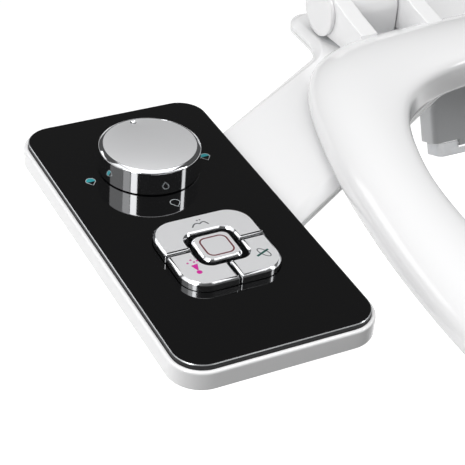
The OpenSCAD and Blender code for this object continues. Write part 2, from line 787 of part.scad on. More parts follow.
// A clear flap with two side cheeks, hung from two pins below the housing's front wall
module nozzle_gate() color([0.8, 0.85, 0.9, 0.5]) at_unit() difference() {
    union() {
        difference() {
            box([-gate_half, gate_front, gate_low], [gate_half, gate_front + gate_wall, gate_top]);
            for (x = lug_x) box([x - 0.4, -9, lug_low - 0.9], [x + lug_w + 0.4, -3, -40]);
        }
        for (x = [-gate_half, gate_half - gate_wall])
            box([x, gate_front, gate_low], [x + gate_wall, 5.8, gate_top]);
        for (x = gate_eye_x)
            rod([x, gate_pin_at.y, gate_pin_at.z], [x + 7, gate_pin_at.y, gate_pin_at.z], 1.8);
    }
    rod([-60, gate_pin_at.y, gate_pin_at.z], [-19, gate_pin_at.y, gate_pin_at.z], gate_pin_r + fit);
    rod([19, gate_pin_at.y, gate_pin_at.z], [60, gate_pin_at.y, gate_pin_at.z], gate_pin_r + fit);
}

module gate_pin() color(chrome) at_unit() for (x = [-34.5, 20])
    rod([x, gate_pin_at.y, gate_pin_at.z], [x + 14.5, gate_pin_at.y, gate_pin_at.z], gate_pin_r);

panel_housing();
panel_cover();
panel_screws();
glass_plate();
glass_gasket();
knob_body();
knob_cap();
knob_spindle();
valve_nut();
spindle_seal();
flow_valve_body();
valve_disc_fixed();
valve_disc_turning();
button_rear_wash();
button_front_wash();
button_nozzle_clean();
button_stop();
spring_rear_wash();
spring_front_wash();
spring_nozzle_clean();
spring_stop();
button_frame();
control_board();
tact_switches();
valve_manifold();
solenoid_rear_wash();
solenoid_front_wash();
solenoid_nozzle_clean();
feed_tubes();
inlet_nipple();
inlet_filter();
inlet_seal();
lead_gland();
base_tray();
base_cover();
base_screws();
base_pads();
tube_rear_wash();
tube_front_wash();
tube_nozzle_clean();
adjuster_disc_left();
adjuster_disc_right();
hinge_bolts();
hinge_post_left();
hinge_post_right();
hinge_pins();
hinge_caps();
seat_ring();
seat_bumpers();
nozzle_housing();
nozzle_carrier();
nozzle_inlet_block();
nozzle_rear_wash();
nozzle_front_wash();
nozzle_rear_tip();
nozzle_front_tip();
spring_nozzle_rear();
spring_nozzle_front();
nozzle_gate();
gate_pin();
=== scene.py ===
import json
from math import atan2, cos, hypot, pi, radians, sin, tau

import bmesh
import bpy
from mathutils import Matrix, Vector


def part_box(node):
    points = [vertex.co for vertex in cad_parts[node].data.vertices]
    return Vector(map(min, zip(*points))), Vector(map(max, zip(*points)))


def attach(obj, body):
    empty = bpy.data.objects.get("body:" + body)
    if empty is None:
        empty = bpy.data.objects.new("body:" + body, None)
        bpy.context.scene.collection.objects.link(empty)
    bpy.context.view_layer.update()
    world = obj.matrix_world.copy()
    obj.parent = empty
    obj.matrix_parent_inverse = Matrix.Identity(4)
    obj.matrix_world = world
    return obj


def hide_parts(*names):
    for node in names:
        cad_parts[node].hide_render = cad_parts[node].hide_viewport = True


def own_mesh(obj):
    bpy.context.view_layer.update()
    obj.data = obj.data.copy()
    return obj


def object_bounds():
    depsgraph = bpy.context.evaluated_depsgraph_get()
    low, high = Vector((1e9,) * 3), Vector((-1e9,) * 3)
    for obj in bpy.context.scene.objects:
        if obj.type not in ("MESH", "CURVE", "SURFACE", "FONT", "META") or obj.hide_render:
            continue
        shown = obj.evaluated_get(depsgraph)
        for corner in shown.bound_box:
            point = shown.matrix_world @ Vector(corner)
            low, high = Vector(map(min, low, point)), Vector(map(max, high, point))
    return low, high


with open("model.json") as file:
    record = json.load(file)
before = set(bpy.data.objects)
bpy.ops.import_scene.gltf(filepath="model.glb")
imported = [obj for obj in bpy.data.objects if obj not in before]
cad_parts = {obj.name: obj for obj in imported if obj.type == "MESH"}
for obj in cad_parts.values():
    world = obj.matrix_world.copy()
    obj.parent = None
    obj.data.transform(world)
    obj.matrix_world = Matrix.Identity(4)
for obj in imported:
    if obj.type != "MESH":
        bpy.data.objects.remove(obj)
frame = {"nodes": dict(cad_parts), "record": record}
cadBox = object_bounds()
cadNodes = frame["nodes"]
mm = 0.001
mergeGap = 0.002 * mm  # points closer than this become one
scene = bpy.context.scene


def middle(node):
    low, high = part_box(node)
    return (low + high) / 2


# place and direction in metres, roll in degrees, lens in mm
camera = dict(place=(-0.4919, -0.6227, 0.4089), towards=(0.39634, 0.70352, -0.58990), roll=4.81, lens=120.2)


def linked(name, data):
    made = bpy.data.objects.new(name, data)
    scene.collection.objects.link(made)
    return made


def makeCamera(c):
    data = bpy.data.cameras.new("studioCamera")
    data.lens = c["lens"]
    data.clip_start = 0.01
    data.clip_end = 60
    eye = linked("studioCamera", data)
    turn = Vector(c["towards"]).to_track_quat("-Z", "Y").to_matrix().to_4x4()
    eye.matrix_world = Matrix.Translation(c["place"]) @ turn @ Matrix.Rotation(radians(c["roll"]), 4, "Z")
    scene.camera = eye


makeCamera(camera)
print("camera set")


def plug(tree, socket, value):
    if isinstance(value, Wire):
        tree.links.new(value.socket, socket)
    else:
        socket.default_value = value


class Wire:
    # the output of a node; sums on it add Math nodes
    def __init__(self, tree, socket):
        self.tree = tree
        self.socket = socket

    def math(self, operation, other=0.0, swap=False):
        node = self.tree.nodes.new("ShaderNodeMath")
        node.operation = operation
        for slot, value in zip(node.inputs, (other, self) if swap else (self, other)):
            plug(self.tree, slot, value)
        return Wire(self.tree, node.outputs[0])

    def __add__(self, other):
        return self.math("ADD", other)

    def __sub__(self, other):
        return self.math("SUBTRACT", other)

    def __rsub__(self, other):
        return self.math("SUBTRACT", other, True)

    def __mul__(self, other):
        return self.math("MULTIPLY", other)

    def __truediv__(self, other):
        return self.math("DIVIDE", other)

    def clip(self):
        node = self.tree.nodes.new("ShaderNodeClamp")
        plug(self.tree, node.inputs[0], self)
        return Wire(self.tree, node.outputs[0])

    __radd__ = __add__
    __rmul__ = __mul__


class Tree:
    # adds nodes to one tree, with their settings first and then their sockets
    def __init__(self, tree, prefix="ShaderNode"):
        self.tree = tree
        self.prefix = prefix

    def node(self, kind, settings=None, sockets=None, out=0):
        made = self.tree.nodes.new(kind if "Node" in kind else self.prefix + kind)
        for key, value in (settings or {}).items():
            setattr(made, key, value)
        for key, value in (sockets or {}).items():
            plug(self.tree, made.inputs[key], value)
        return Wire(self.tree, made.outputs[out])

    def parts(self, vector):
        split = self.tree.nodes.new("ShaderNodeSeparateXYZ")
        plug(self.tree, split.inputs[0], vector)
        return [Wire(self.tree, out) for out in split.outputs]


class Look(Tree):
    # a material on the Principled shader; constants go straight on its sockets
    def __init__(self, name, constants):
        self.material = bpy.data.materials.new(name)
        self.material.use_nodes = True
        super().__init__(self.material.node_tree)
        self.shader = self.tree.nodes["Principled BSDF"]
        for key, value in constants.items():
            self.shader.inputs[key].default_value = value

    def place(self):
        return self.node("TexCoord", out="Object")

    def noise(self, scale, detail=2.0, where=None):
        sockets = {"Vector": where or self.place(), "Scale": scale, "Detail": detail}
        return self.node("TexNoise", {}, sockets, "Fac")

    def mix(self, mask, first, second):
        return self.node("Mix", {"data_type": "RGBA"}, {0: mask, 6: first, 7: second}, 2)

    def relief(self, height, depth):
        self.feed("Normal", self.node("Bump", {}, {"Height": height, "Distance": depth}, "Normal"))

    def feed(self, key, wire):
        plug(self.tree, self.shader.inputs[key], wire)
        return self


def grey(tone):
    return (tone, tone, tone, 1.0)


def paler(colour, gain):
    return tuple(c * gain for c in colour[:3]) + (1.0,)


def glossPlastic(name, colour, rough=0.16, coat=0.4, wave=0.010):
    # moulded plastic: slow swells in the gloss and a very fine grain
    look = Look(name, {"Base Color": colour, "IOR": 1.5, "Coat Weight": coat, "Coat Roughness": 0.05})
    swell = look.noise(26.0, 2.0)
    grain = look.noise(2600.0, 3.0)
    look.feed("Roughness", (swell - 0.5) * 0.10 + (grain - 0.5) * 0.06 + rough)
    look.relief(swell * wave + grain * 0.0028, 0.0006)
    return look.material


def mattePlastic(name, colour, rough=0.48):
    # spark-eroded mould texture
    look = Look(name, {"Base Color": colour, "IOR": 1.48})
    grain = look.noise(3200.0, 4.0)
    tone = look.noise(60.0, 2.0)
    look.feed("Base Color", look.mix(tone, colour, paler(colour, 1.12)))
    look.feed("Roughness", (grain - 0.5) * 0.22 + rough)
    look.relief(grain, 0.00005)
    return look.material


def bevelHighlightGlass(name):
    # the bevel that runs round the panel, painted light grey as a painted highlight along the black glass
    # edge
    look = Look(name, {"Base Color": (0.42, 0.43, 0.44, 1), "IOR": 1.6, "Metallic": 0.6})
    look.feed("Roughness", (look.noise(300.0) - 0.5) * 0.1 + 0.22)
    return look.material


def polishedGlass(name):
    # black glass; a hint of dust changes the gloss
    look = Look(name, {"Base Color": (0.0012, 0.0012, 0.0014, 1), "IOR": 1.75, "Coat Weight": 0.0})
    haze = look.noise(9.0, 3.0)
    look.feed("Roughness", (haze - 0.5) * 0.02 + 0.022)
    return look.material


def mirrorChrome(name, rough=0.08):
    look = Look(name, {"Base Color": (0.80, 0.81, 0.83, 1), "Metallic": 1.0})
    haze = look.noise(120.0, 3.0)
    look.feed("Roughness", (haze - 0.5) * 0.03 + rough)
    look.relief(look.noise(55.0, 1.0), 0.00002)
    return look.material


def satinMetal(name, tone, rough, centre=None):
    # blasted metal; a turned face has fine rings round its centre
    colour = (tone, tone * 1.005, tone * 1.02, 1)
    look = Look(name, {"Base Color": colour, "Metallic": 0.55, "IOR": 1.5})
    grain = look.noise(5200.0, 3.0)
    relief = grain
    if centre is not None:
        x, y, z = look.parts(look.place())
        ring = ((x - centre.x) * (x - centre.x) + (y - centre.y) * (y - centre.y)).math("SQRT")
        fine = {"W": ring, "Scale": 4200.0, "Detail": 3.0}
        rings = look.node("TexNoise", {"noise_dimensions": "1D"}, fine, "Fac")
        relief = rings * 0.7 + grain * 0.3
    look.feed("Roughness", (relief - 0.5) * 0.16 + rough)
    look.relief(relief, 0.000018)
    return look.material


def plainMetal(name, colour, rough=0.28):
    look = Look(name, {"Base Color": colour, "Metallic": 1.0})
    wear = look.noise(420.0, 4.0)
    look.feed("Roughness", (wear - 0.5) * 0.25 + rough)
    look.relief(look.noise(1500.0, 2.0), 0.00001)
    return look.material


def softRubber(name, colour):
    look = Look(name, {"Base Color": colour, "IOR": 1.45})
    grain = look.noise(1900.0, 4.0)
    look.feed("Roughness", (grain - 0.5) * 0.2 + 0.68)
    look.relief(grain, 0.00006)
    return look.material


def clearPlastic(name, colour, alpha, rough=0.12):
    # milky plastic: lighter where the wall is seen edge on
    look = Look(name, {"Base Color": colour, "IOR": 1.5, "Coat Weight": 0.3})
    swell = look.noise(70.0, 2.0)
    look.feed("Roughness", (swell - 0.5) * 0.08 + rough)
    edge = look.node("LayerWeight", {}, {"Blend": 0.35}, "Facing")
    look.feed("Alpha", (edge * (0.95 - alpha) + alpha + (swell - 0.5) * 0.06).clip())
    return look.material


def printedInk(name, colour):
    look = Look(name, {"Base Color": colour, "IOR": 1.45})
    speck = look.noise(2400.0, 2.0)
    look.feed("Base Color", look.mix(speck, colour, paler(colour, 1.25)))
    look.feed("Roughness", (speck - 0.5) * 0.1 + 0.42)
    return look.material


knobCentre = middle("knob_cap")
looks = dict(
    white_plastic=glossPlastic("glossWhite", (0.80, 0.80, 0.805, 1)),
    grey_plastic=glossPlastic("satinGrey", (0.60, 0.61, 0.62, 1), rough=0.3, coat=0.1),
    black_plastic=mattePlastic("mattBlack", (0.012, 0.012, 0.013, 1)),
    black_glass=polishedGlass("blackGlass"),
    chrome=mirrorChrome("mirrorChrome"),
    satin_metal=satinMetal("satinCap", 0.78, 0.36, knobCentre),
    steel=plainMetal("plainSteel", (0.60, 0.60, 0.61, 1)),
    brass=plainMetal("turnedBrass", (0.78, 0.58, 0.27, 1), 0.24),
    ceramic=glossPlastic("lappedCeramic", (0.82, 0.80, 0.74, 1), rough=0.2),
    rubber=softRubber("blackRubber", (0.018, 0.018, 0.018, 1)),
    bumper_rubber=softRubber("paleRubber", (0.55, 0.56, 0.57, 1)),
    board_green=mattePlastic("boardGreen", (0.01, 0.10, 0.035, 1), 0.4),
    solenoid_blue=mattePlastic("coilBlue", (0.02, 0.05, 0.20, 1), 0.4),
    clear_tube=clearPlastic("clearTube", (0.80, 0.84, 0.87, 1), 0.55),
    clear_gate=clearPlastic("clearGate", (0.72, 0.74, 0.77, 1), 0.42),
)
satinButton = satinMetal("satinButton", 0.82, 0.40)
keyChrome = mirrorChrome("keyChrome", 0.15)
slotOf = {s["node"]: s["material_slot"] for s in frame["record"]["subparts"]}

for nodeName, cadObject in cadNodes.items():
    cadObject.data.materials.clear()
    cadObject.data.materials.append(looks[slotOf[nodeName]])
print("finishes made")


def arcPoints(centre, radius, start, end, steps):
    angles = [radians(start + (end - start) * i / steps) for i in range(steps + 1)]
    return [(centre[0] + radius * cos(a), centre[1] + radius * sin(a)) for a in angles]


def dotPoints(centre, radius, steps=20):
    return arcPoints(centre, radius, 0, 360, steps)[:-1]


def squarePoints(centre, half, corner, steps):
    # a rounded rectangle, anticlockwise
    points = []
    for sx, sy, start in ((1, -1, -90), (1, 1, 0), (-1, 1, 90), (-1, -1, 180)):
        pivot = (centre[0] + sx * (half[0] - corner), centre[1] + sy * (half[1] - corner))
        points += arcPoints(pivot, corner, start, start + 90, steps)
    return points


def roundLoop(centre, half, corner, inset, z, steps=10):
    # a rounded rectangle in metres, moved inwards by the inset
    r = max(corner - inset, 0.02 * mm)
    return [(x, y, z) for x, y in squarePoints(centre, (half[0] - inset, half[1] - inset), r, steps)]


def flatLoop(points, z):
    # points in mm at one height, as places in metres
    return [(x * mm, y * mm, z * mm) for x, y in points]


def circleLoop(centre, radius, z, steps=64):
    return [(x, y, z) for x, y in dotPoints(centre, radius, steps)]


def insetPoints(points, d):
    # moves a closed anticlockwise outline inwards by d
    moved = []
    n = len(points)
    for i, p in enumerate(points):
        p = Vector(p)
        u = (p - Vector(points[i - 1])).normalized()
        v = (Vector(points[(i + 1) % n]) - p).normalized()
        a, b = Vector((-u.y, u.x)), Vector((-v.y, v.x))
        moved.append(tuple(p + (a + b) * d / (1 + a.dot(b))))
    return moved


def spline(points, steps, closed=False):
    # a smooth line through the points
    n = len(points)
    pts = [Vector(p) for p in points]
    out = []
    for i in range(n if closed else n - 1):
        if closed:
            a, b, c, d = (pts[(i + k) % n] for k in (-1, 0, 1, 2))
        else:
            a, b, c, d = pts[max(i - 1, 0)], pts[i], pts[i + 1], pts[min(i + 2, n - 1)]
        for j in range(steps):
            t = j / steps
            out.append(0.5 * (2 * b + (c - a) * t + (2 * a - 5 * b + 4 * c - d) * t * t
                              + (3 * b - a - 3 * c + d) * t ** 3))
    if not closed:
        out.append(pts[-1])
    return out


def loft(bm, loops, capStart=False, capEnd=False, closed=False, open=False):
    # joins loops of the same length; closed joins the last loop to the first, open leaves the seam apart
    rows = [[bm.verts.new(p) for p in loop] for loop in loops]
    following = rows[1:] + ([rows[0]] if closed else [])
    for a, b in zip(rows, following):
        for i in range(len(a) - (1 if open else 0)):
            j = (i + 1) % len(a)
            bm.faces.new((a[i], a[j], b[j], b[i]))
    if capStart:
        bm.faces.new(rows[0][::-1])
    if capEnd:
        bm.faces.new(rows[-1])
    return rows


def bridge(bm, first, second):
    # a wall between two loops of the same length
    for i in range(len(first)):
        j = (i + 1) % len(first)
        bm.faces.new((first[i], first[j], second[j], second[i]))


def fillFlat(bm, rows):
    # a flat face between the first loop and the loops inside it
    edges = []
    for row in rows:
        for i, v in enumerate(row):
            w = row[(i + 1) % len(row)]
            edges.append(bm.edges.get((v, w)) or bm.edges.new((v, w)))
    bmesh.ops.triangle_fill(bm, use_beauty=True, use_dissolve=False, edges=edges)


def lathe(bm, centre, profile, steps=96):
    # profile in mm: (radius, height); a radius of 0 is a pole
    rows = []
    for r, z in profile:
        place = (centre[0], centre[1], z * mm)
        rows.append([bm.verts.new(place)] if r == 0 else
                    [bm.verts.new(p) for p in circleLoop(centre, r * mm, z * mm, steps)])
    for a, b in zip(rows, rows[1:]):
        for i in range(steps):
            j = (i + 1) % steps
            corners = [a[i % len(a)], a[j % len(a)], b[j % len(b)], b[i % len(b)]]
            bm.faces.new(list(dict.fromkeys(corners)))


def profileLoops(centre, half, corner, profile, steps=10):
    return [roundLoop(centre, half, corner, d * mm, z * mm, steps) for d, z in profile]


def cleanMesh(bm, name):
    # merges what touches, turns the faces outwards and frees the bmesh
    bmesh.ops.remove_doubles(bm, verts=bm.verts, dist=mergeGap)
    bmesh.ops.recalc_face_normals(bm, faces=bm.faces)
    mesh = bpy.data.meshes.new(name)
    bm.to_mesh(mesh)
    bm.free()
    return mesh


def plainCopy(thing):
    # a bmesh of an object with its modifiers applied
    out = bmesh.new()
    graph = bpy.context.evaluated_depsgraph_get()
    out.from_mesh(bpy.data.meshes.new_from_object(thing.evaluated_get(graph)))
    return out


def absorb(bm, other):
    scratch = bpy.data.meshes.new("scratch")
    other.to_mesh(scratch)
    other.free()
    bm.from_mesh(scratch)
    bpy.data.meshes.remove(scratch)


def addPiece(name, bm, body, slotName, replaced=(), finishes=None, sharp=30, turned=None):
    if turned is not None:
        bmesh.ops.transform(bm, matrix=turned, verts=bm.verts)
    mesh = cleanMesh(bm, name)
    for face in mesh.polygons:
        face.use_smooth = True
    mesh.set_sharp_from_angle(angle=radians(sharp))
    for each in finishes or [looks[slotName]]:
        mesh.materials.append(each)
    piece = linked(name, mesh)
    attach(piece, body)
    if replaced:
        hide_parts(*replaced)
    return piece


def carved(bm, cutters):
    # takes the cutters out of a closed body
    whole = linked("blank", cleanMesh(bm, "blank"))
    tools = [linked("cutter", cleanMesh(cutter, "cutter")) for cutter in cutters]
    for tool in tools:
        cut = whole.modifiers.new("cut", "BOOLEAN")
        cut.object = tool
        cut.solver = "EXACT"
    out = plainCopy(whole)
    for blank in [whole] + tools:
        bpy.data.objects.remove(blank)
    return out


def column(centre, radius, low, high, steps=64):
    bm = bmesh.new()
    loops = [circleLoop([c * mm for c in centre], radius * mm, z * mm, steps) for z in (low, high)]
    loft(bm, loops, True, True)
    return bm


def block(low, high):
    bm = bmesh.new()
    corners = ((low[0], low[1]), (high[0], low[1]), (high[0], high[1]), (low[0], high[1]))
    loft(bm, [flatLoop(corners, z) for z in (low[2], high[2])], True, True)
    return bm


def instanceTree(name, stacked):
    # copies of a piece on every point of a mesh, or stacked at an even pitch
    group = bpy.data.node_groups.new(name, "GeometryNodeTree")
    face = group.interface
    face.new_socket("Geometry", in_out="INPUT", socket_type="NodeSocketGeometry")
    face.new_socket("Geometry", in_out="OUTPUT", socket_type="NodeSocketGeometry")
    keys = {}
    kinds = [("Piece", "Object"), ("Finish", "Material")]
    if stacked:
        kinds += [("Turns", "Int"), ("Pitch", "Float")]
    for label, kind in kinds:
        keys[label] = face.new_socket(label, in_out="INPUT", socket_type="NodeSocket" + kind).identifier
    tree = Tree(group, "GeometryNode")
    entry = group.nodes.new("NodeGroupInput")
    leave = group.nodes.new("NodeGroupOutput")
    entries = {out.name: Wire(group, out) for out in entry.outputs}
    points = entries["Geometry"]
    if stacked:
        rise = tree.node("ShaderNodeCombineXYZ", {}, {"Z": entries["Pitch"]})
        points = tree.node("MeshLine", {}, {"Count": entries["Turns"], "Offset": rise})
    piece = tree.node("ObjectInfo", {}, {"Object": entries["Piece"]}, "Geometry")
    copies = tree.node("InstanceOnPoints", {}, {"Points": points, "Instance": piece})
    whole = tree.node("RealizeInstances", {}, {"Geometry": copies})
    done = tree.node("SetMaterial", {}, {"Geometry": whole, "Material": entries["Finish"]})
    plug(group, leave.inputs[0], done)
    return group, keys


scatterTree = instanceTree("scatterPiece", False)
stackTree = instanceTree("stackTurns", True)


def repeated(bm, look, recipe, points=((0, 0, 0),), turns=None, pitch=None):
    # runs a tree on a mesh of points and gives back one plain bmesh
    group, keys = recipe
    piece = linked("seed", cleanMesh(bm, "seed"))
    grid = bpy.data.meshes.new("points")
    grid.from_pydata([tuple(c * mm for c in p) for p in points], [], [])
    holder = linked("points", grid)
    mod = holder.modifiers.new("copies", "NODES")
    mod.node_group = group
    mod[keys["Piece"]] = piece
    mod[keys["Finish"]] = look
    if turns:
        mod[keys["Turns"]] = turns
        mod[keys["Pitch"]] = pitch * mm
    out = plainCopy(holder)
    for each in (piece, holder):
        bpy.data.objects.remove(each)
    return out


def threadOn(bm, centre, root, crest, pitch, low, high, look, steps=48):
    # a thread between two heights that runs out to the root radius at both ends
    turn = bmesh.new()
    profile = [(root, 0.0), (root, 0.12), (crest, 0.45), (crest, 0.55), (root, 0.88), (root, 1.0)]
    loft(turn, [[(r * mm * cos(tau * i / steps), r * mm * sin(tau * i / steps), (z + i / steps) * pitch * mm)
                 for i in range(steps + 1)] for r, z in profile], open=True)
    turns = int((high - low) / pitch) + 3
    made = repeated(turn, look, stackTree, turns=turns, pitch=pitch)
    bmesh.ops.remove_doubles(made, verts=made.verts, dist=mergeGap)
    for v in made.verts:
        z = v.co.z / mm + low - 1.5 * pitch
        fade = max(0.0, min(1.0, (z - low) / pitch, (high - z) / pitch))
        r = hypot(v.co.x, v.co.y)
        wide = root * mm + (r - root * mm) * fade
        x, y = (v.co.x / r * wide, v.co.y / r * wide)
        v.co = (centre[0] * mm + x, centre[1] * mm + y, min(max(z, low), high) * mm)
    absorb(bm, made)


def crossPiece(bm, outline, ends, edge, side, hole=None):
    # a profile in (y, z) drawn along x with softened ends and an optional bore
    x0, x1 = ends
    steps = [(edge, x0), (edge * 0.3, x0 + edge * 0.3), (0, x0 + edge), (0, x0 + 2 * edge),
             (0, x1 - 2 * edge),
             (0, x1 - edge), (edge * 0.3, x1 - edge * 0.3), (edge, x1)]

    def at(points, x):
        return [(side * x * mm, y * mm, z * mm) for y, z in points]

    rows = loft(bm, [at(insetPoints(outline, d) if d else outline, x) for d, x in steps])
    bores = [[], []]
    if hole:
        bores = [[bm.verts.new(p) for p in at(dotPoints(*hole, 24), x)] for x in ends]
    for row, bore in zip((rows[0], rows[-1]), bores):
        fillFlat(bm, [row, bore] if bore else [row])
    bridge(bm, *bores)


def sideLathe(bm, axis, profile, side, steps=64):
    # turned about a line along x; profile: (radius, x)
    ringed = bmesh.new()
    lathe(ringed, (0, 0), profile, steps)
    turn = Matrix.Translation((0, axis[0] * mm, axis[1] * mm)) @ Matrix.Rotation(side * pi / 2, 4, "Y")
    bmesh.ops.transform(ringed, matrix=turn, verts=ringed.verts)
    absorb(bm, ringed)


panelLow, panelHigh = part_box("panel_housing")
glassLow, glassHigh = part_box("glass_plate")
panelMid = (panelLow + panelHigh) / 2
padMid = middle("button_stop")
panel = dict(
    corner=15.0, glassCorner=13.0, shelf=6.5, shelfLow=4.7, glassTop=10.0, glassLow=7.0, bevelLow=9.66,
    stemHole=8.1, keyWell=25.2, keyWellCorner=13.3, knobHole=13.0, padHole=23.75, padCorner=11.85,
    # inset from the outer wall and height, round the rim and down inside
    rim=[(2.0, -1.5), (0.7, -1.5), (0.35, -1.42), (0.1, -1.2), (0.0, -0.9), (0.0, -0.5), (0.0, 6.3),
         (0.0, 6.6), (0.08, 6.95), (0.28, 7.27), (0.6, 7.5), (0.95, 7.6), (1.15, 7.6), (1.6, 7.6),
         (1.78, 7.55), (1.85, 7.4), (1.85, 6.6), (2.0, 6.5), (2.6, 6.5)],
    below=[(2.6, 4.7), (2.0, 4.7), (2.0, 4.3), (2.0, -1.1)],
    # inset and height of the glass, up its edge and over its polished bevel
    edge=[(0.3, 7.0), (0.1, 7.05), (0.0, 7.2), (0.0, 7.5), (0.0, 9.5), (0.0, 9.66)],
    face=[(0.34, 9.98), (0.4, 10.0), (0.8, 10.0)],
)


def outerHalf(low, high):
    return ((high.x - low.x) / 2, (high.y - low.y) / 2)


def pierced(bm, outer, z, round, square, corner):
    # a flat face with a round hole for the knob and a square one for the keys
    knobRow = [bm.verts.new(q) for q in circleLoop(knobCentre, round * mm, z * mm)]
    half = (square * mm, square * mm)
    padRow = [bm.verts.new(q) for q in roundLoop(padMid, half, corner * mm, 0, z * mm)]
    fillFlat(bm, [outer, knobRow, padRow])
    return knobRow, padRow


def makeHousing(p):
    bm = bmesh.new()
    half = outerHalf(panelLow, panelHigh)
    rows = loft(bm, profileLoops(panelMid, half, p["corner"] * mm, p["rim"] + p["below"], 14), closed=True)
    split = len(p["rim"])
    shelf, ceiling = rows[split - 1], rows[split]
    between = [f for f in bm.faces if all(v in shelf + ceiling for v in f.verts)]
    bmesh.ops.delete(bm, geom=between, context="FACES_ONLY")
    holes = [pierced(bm, row, z, p["stemHole"], p["keyWell"], p["keyWellCorner"])
             for row, z in ((shelf, p["shelf"]), (ceiling, p["shelfLow"]))]
    for top, bottom in zip(*holes):
        bridge(bm, top, bottom)
    addPiece("housingShell", bm, "base", "white_plastic", ["panel_housing"], sharp=40)


def makeGlass(p):
    bm = bmesh.new()
    middleOfGlass = (glassLow + glassHigh) / 2
    loops = profileLoops(middleOfGlass, outerHalf(glassLow, glassHigh), p["glassCorner"] * mm,
                         p["edge"] + p["face"], 14)
    rows = loft(bm, loops)
    bevelRows = rows[len(p["edge"]) - 1] + rows[len(p["edge"])]
    # the bevel faces take the light grey finish, a painted highlight along the glass edge
    for f in bm.faces:
        if all(v in bevelRows for v in f.verts):
            f.material_index = 1
        elif f.calc_center_median().z < p["bevelLow"] * mm:
            f.material_index = 2
    holes = [pierced(bm, row, z, p["knobHole"], p["padHole"], p["padCorner"])
             for row, z in ((rows[-1], p["glassTop"]), (rows[0], p["glassLow"]))]
    for top, bottom in zip(*holes):
        bridge(bm, top, bottom)
    # the second finish is the painted highlight on the bevel
    finishes = [looks["black_glass"], bevelHighlightGlass("glassBevelHighlight"), looks["black_plastic"]]
    addPiece("glassPanel", bm, "base", "black_glass", ["glass_plate"], finishes, sharp=24)


makeHousing(panel)
makeGlass(panel)
print("panel made")


knob = dict(
    # radius and height: up inside, round the foot and over the chamfer
    shell=[(0, 19.4), (20.9, 19.4), (21.0, 19.2), (20.9, 10.6), (20.8, 10.45), (23.1, 10.4), (23.3, 10.45),
           (23.4, 10.6), (23.4, 10.9), (23.4, 21.2), (23.4, 21.45), (23.3, 21.7), (23.1, 21.92),
           (21.95, 22.68), (21.75, 22.78), (21.6, 22.8), (21.46, 22.78), (21.41, 22.7), (21.4, 22.6),
           (21.4, 21.9), (0, 21.9)],
    cap=[(0, 22.0), (21.36, 22.0), (21.38, 22.68), (21.33, 22.77), (21.2, 22.8)],
    top=22.8, dimple=19.0, dimpleR=1.45, chromeLow=22.05,
    # share of the dimple's radius, and height
    well=[(1.0, 22.8), (0.93, 22.76), (0.8, 22.52), (0.55, 22.3), (0.2, 22.2)],
)


def makeKnob(k):
    bm = bmesh.new()
    lathe(bm, knobCentre, k["shell"], 128)
    addPiece("knobShell", bm, "knob", "chrome", ["knob_body"], sharp=28)
    bm = bmesh.new()
    lathe(bm, knobCentre, k["cap"], 128)
    top = [v for v in bm.verts if abs(v.co.z - k["top"] * mm) < 1e-7]
    centre = knobCentre + Vector((0, k["dimple"] * mm, 0))
    rim = sorted(top, key=lambda v: atan2(v.co.y - knobCentre.y, v.co.x - knobCentre.x))
    rings = loft(bm, [circleLoop(centre, k["dimpleR"] * r * mm, z * mm, 32) for r, z in k["well"]],
                 capEnd=True)
    fillFlat(bm, [rim, rings[0]])
    for f in bm.faces:
        spot = f.calc_center_median()
        if (spot - centre).xy.length < k["dimpleR"] * mm and spot.z < k["top"] * mm - mergeGap:
            f.material_index = int(spot.z > k["chromeLow"] * mm)
    addPiece("knobFace", bm, "knob", "satin_metal", ["knob_cap"], [looks["satin_metal"], looks["chrome"]])


makeKnob(knob)
print("knob made")


buttons = dict(half=23.4, corner=11.5, pocket=11.4, pocketCorner=5.2, cut=0.9, gap=1.0, edge=0.35,
               low=6.3, top=14.25, chamfer=1.05, stopHalf=9.2, stopCorner=4.2)


def padPiece(points, name, body, node):
    # walls, a bright chamfer and a satin face
    b = buttons
    low, top, chamfer = b["low"], b["top"], b["chamfer"]
    shoulder = top - chamfer
    steps = [(0.0, low), (0.0, low + 0.4), (0.0, shoulder - 0.25), (0.0, shoulder), (0.06, shoulder + 0.1),
             (chamfer - 0.1, top - 0.08), (chamfer, top), (chamfer + 0.25, top)]
    placed = [(padMid.x / mm + x, padMid.y / mm + y) for x, y in points]
    bm = bmesh.new()
    rows = loft(bm, [flatLoop(insetPoints(placed, d), z) for d, z in steps], capStart=True)
    fillFlat(bm, [rows[-1]])
    for f in bm.faces:
        if all(v.co.z > (top - 0.01) * mm for v in f.verts):
            f.material_index = 1
    addPiece(name, bm, body, "chrome", [node], [keyChrome, satinButton], sharp=26)


def makeButtons(b):
    h, r, k, q, edge = b["half"], b["corner"], b["pocket"], b["pocketCorner"], b["edge"]
    up, down, side = b["cut"] + b["gap"] / 2, b["cut"] - b["gap"] / 2, b["gap"] / 2

    def softCorner(x, y, start):
        return arcPoints((x, y), edge, start, start + 90, 3)

    rear = (softCorner(h - edge, up + edge, -90) + arcPoints((h - r, h - r), r, 0, 90, 16)
            + arcPoints((r - h, h - r), r, 90, 180, 16) + softCorner(edge - h, up + edge, 180)
            + softCorner(-k - edge, up + edge, -90) + arcPoints((q - k, k - q), q, 180, 90, 10)
            + arcPoints((k - q, k - q), q, 90, 0, 10) + softCorner(k + edge, up + edge, 180))
    right = (softCorner(side + edge, edge - h, 180) + arcPoints((h - r, r - h), r, -90, 0, 16)
             + softCorner(h - edge, down - edge, 0) + softCorner(k + edge, down - edge, 90)
             + arcPoints((k - q, q - k), q, 0, -90, 10) + softCorner(side + edge, -k - edge, 90))
    left = [(-x, y) for x, y in right[::-1]]
    stop = squarePoints((0, 0), (b["stopHalf"], b["stopHalf"]), b["stopCorner"], 10)
    padPiece(rear, "rearWashKey", "rear_wash_button", "button_rear_wash")
    padPiece(left, "frontWashKey", "front_wash_button", "button_front_wash")
    padPiece(right, "nozzleCleanKey", "nozzle_clean_button", "button_nozzle_clean")
    padPiece(stop, "stopKey", "stop_button", "button_stop")


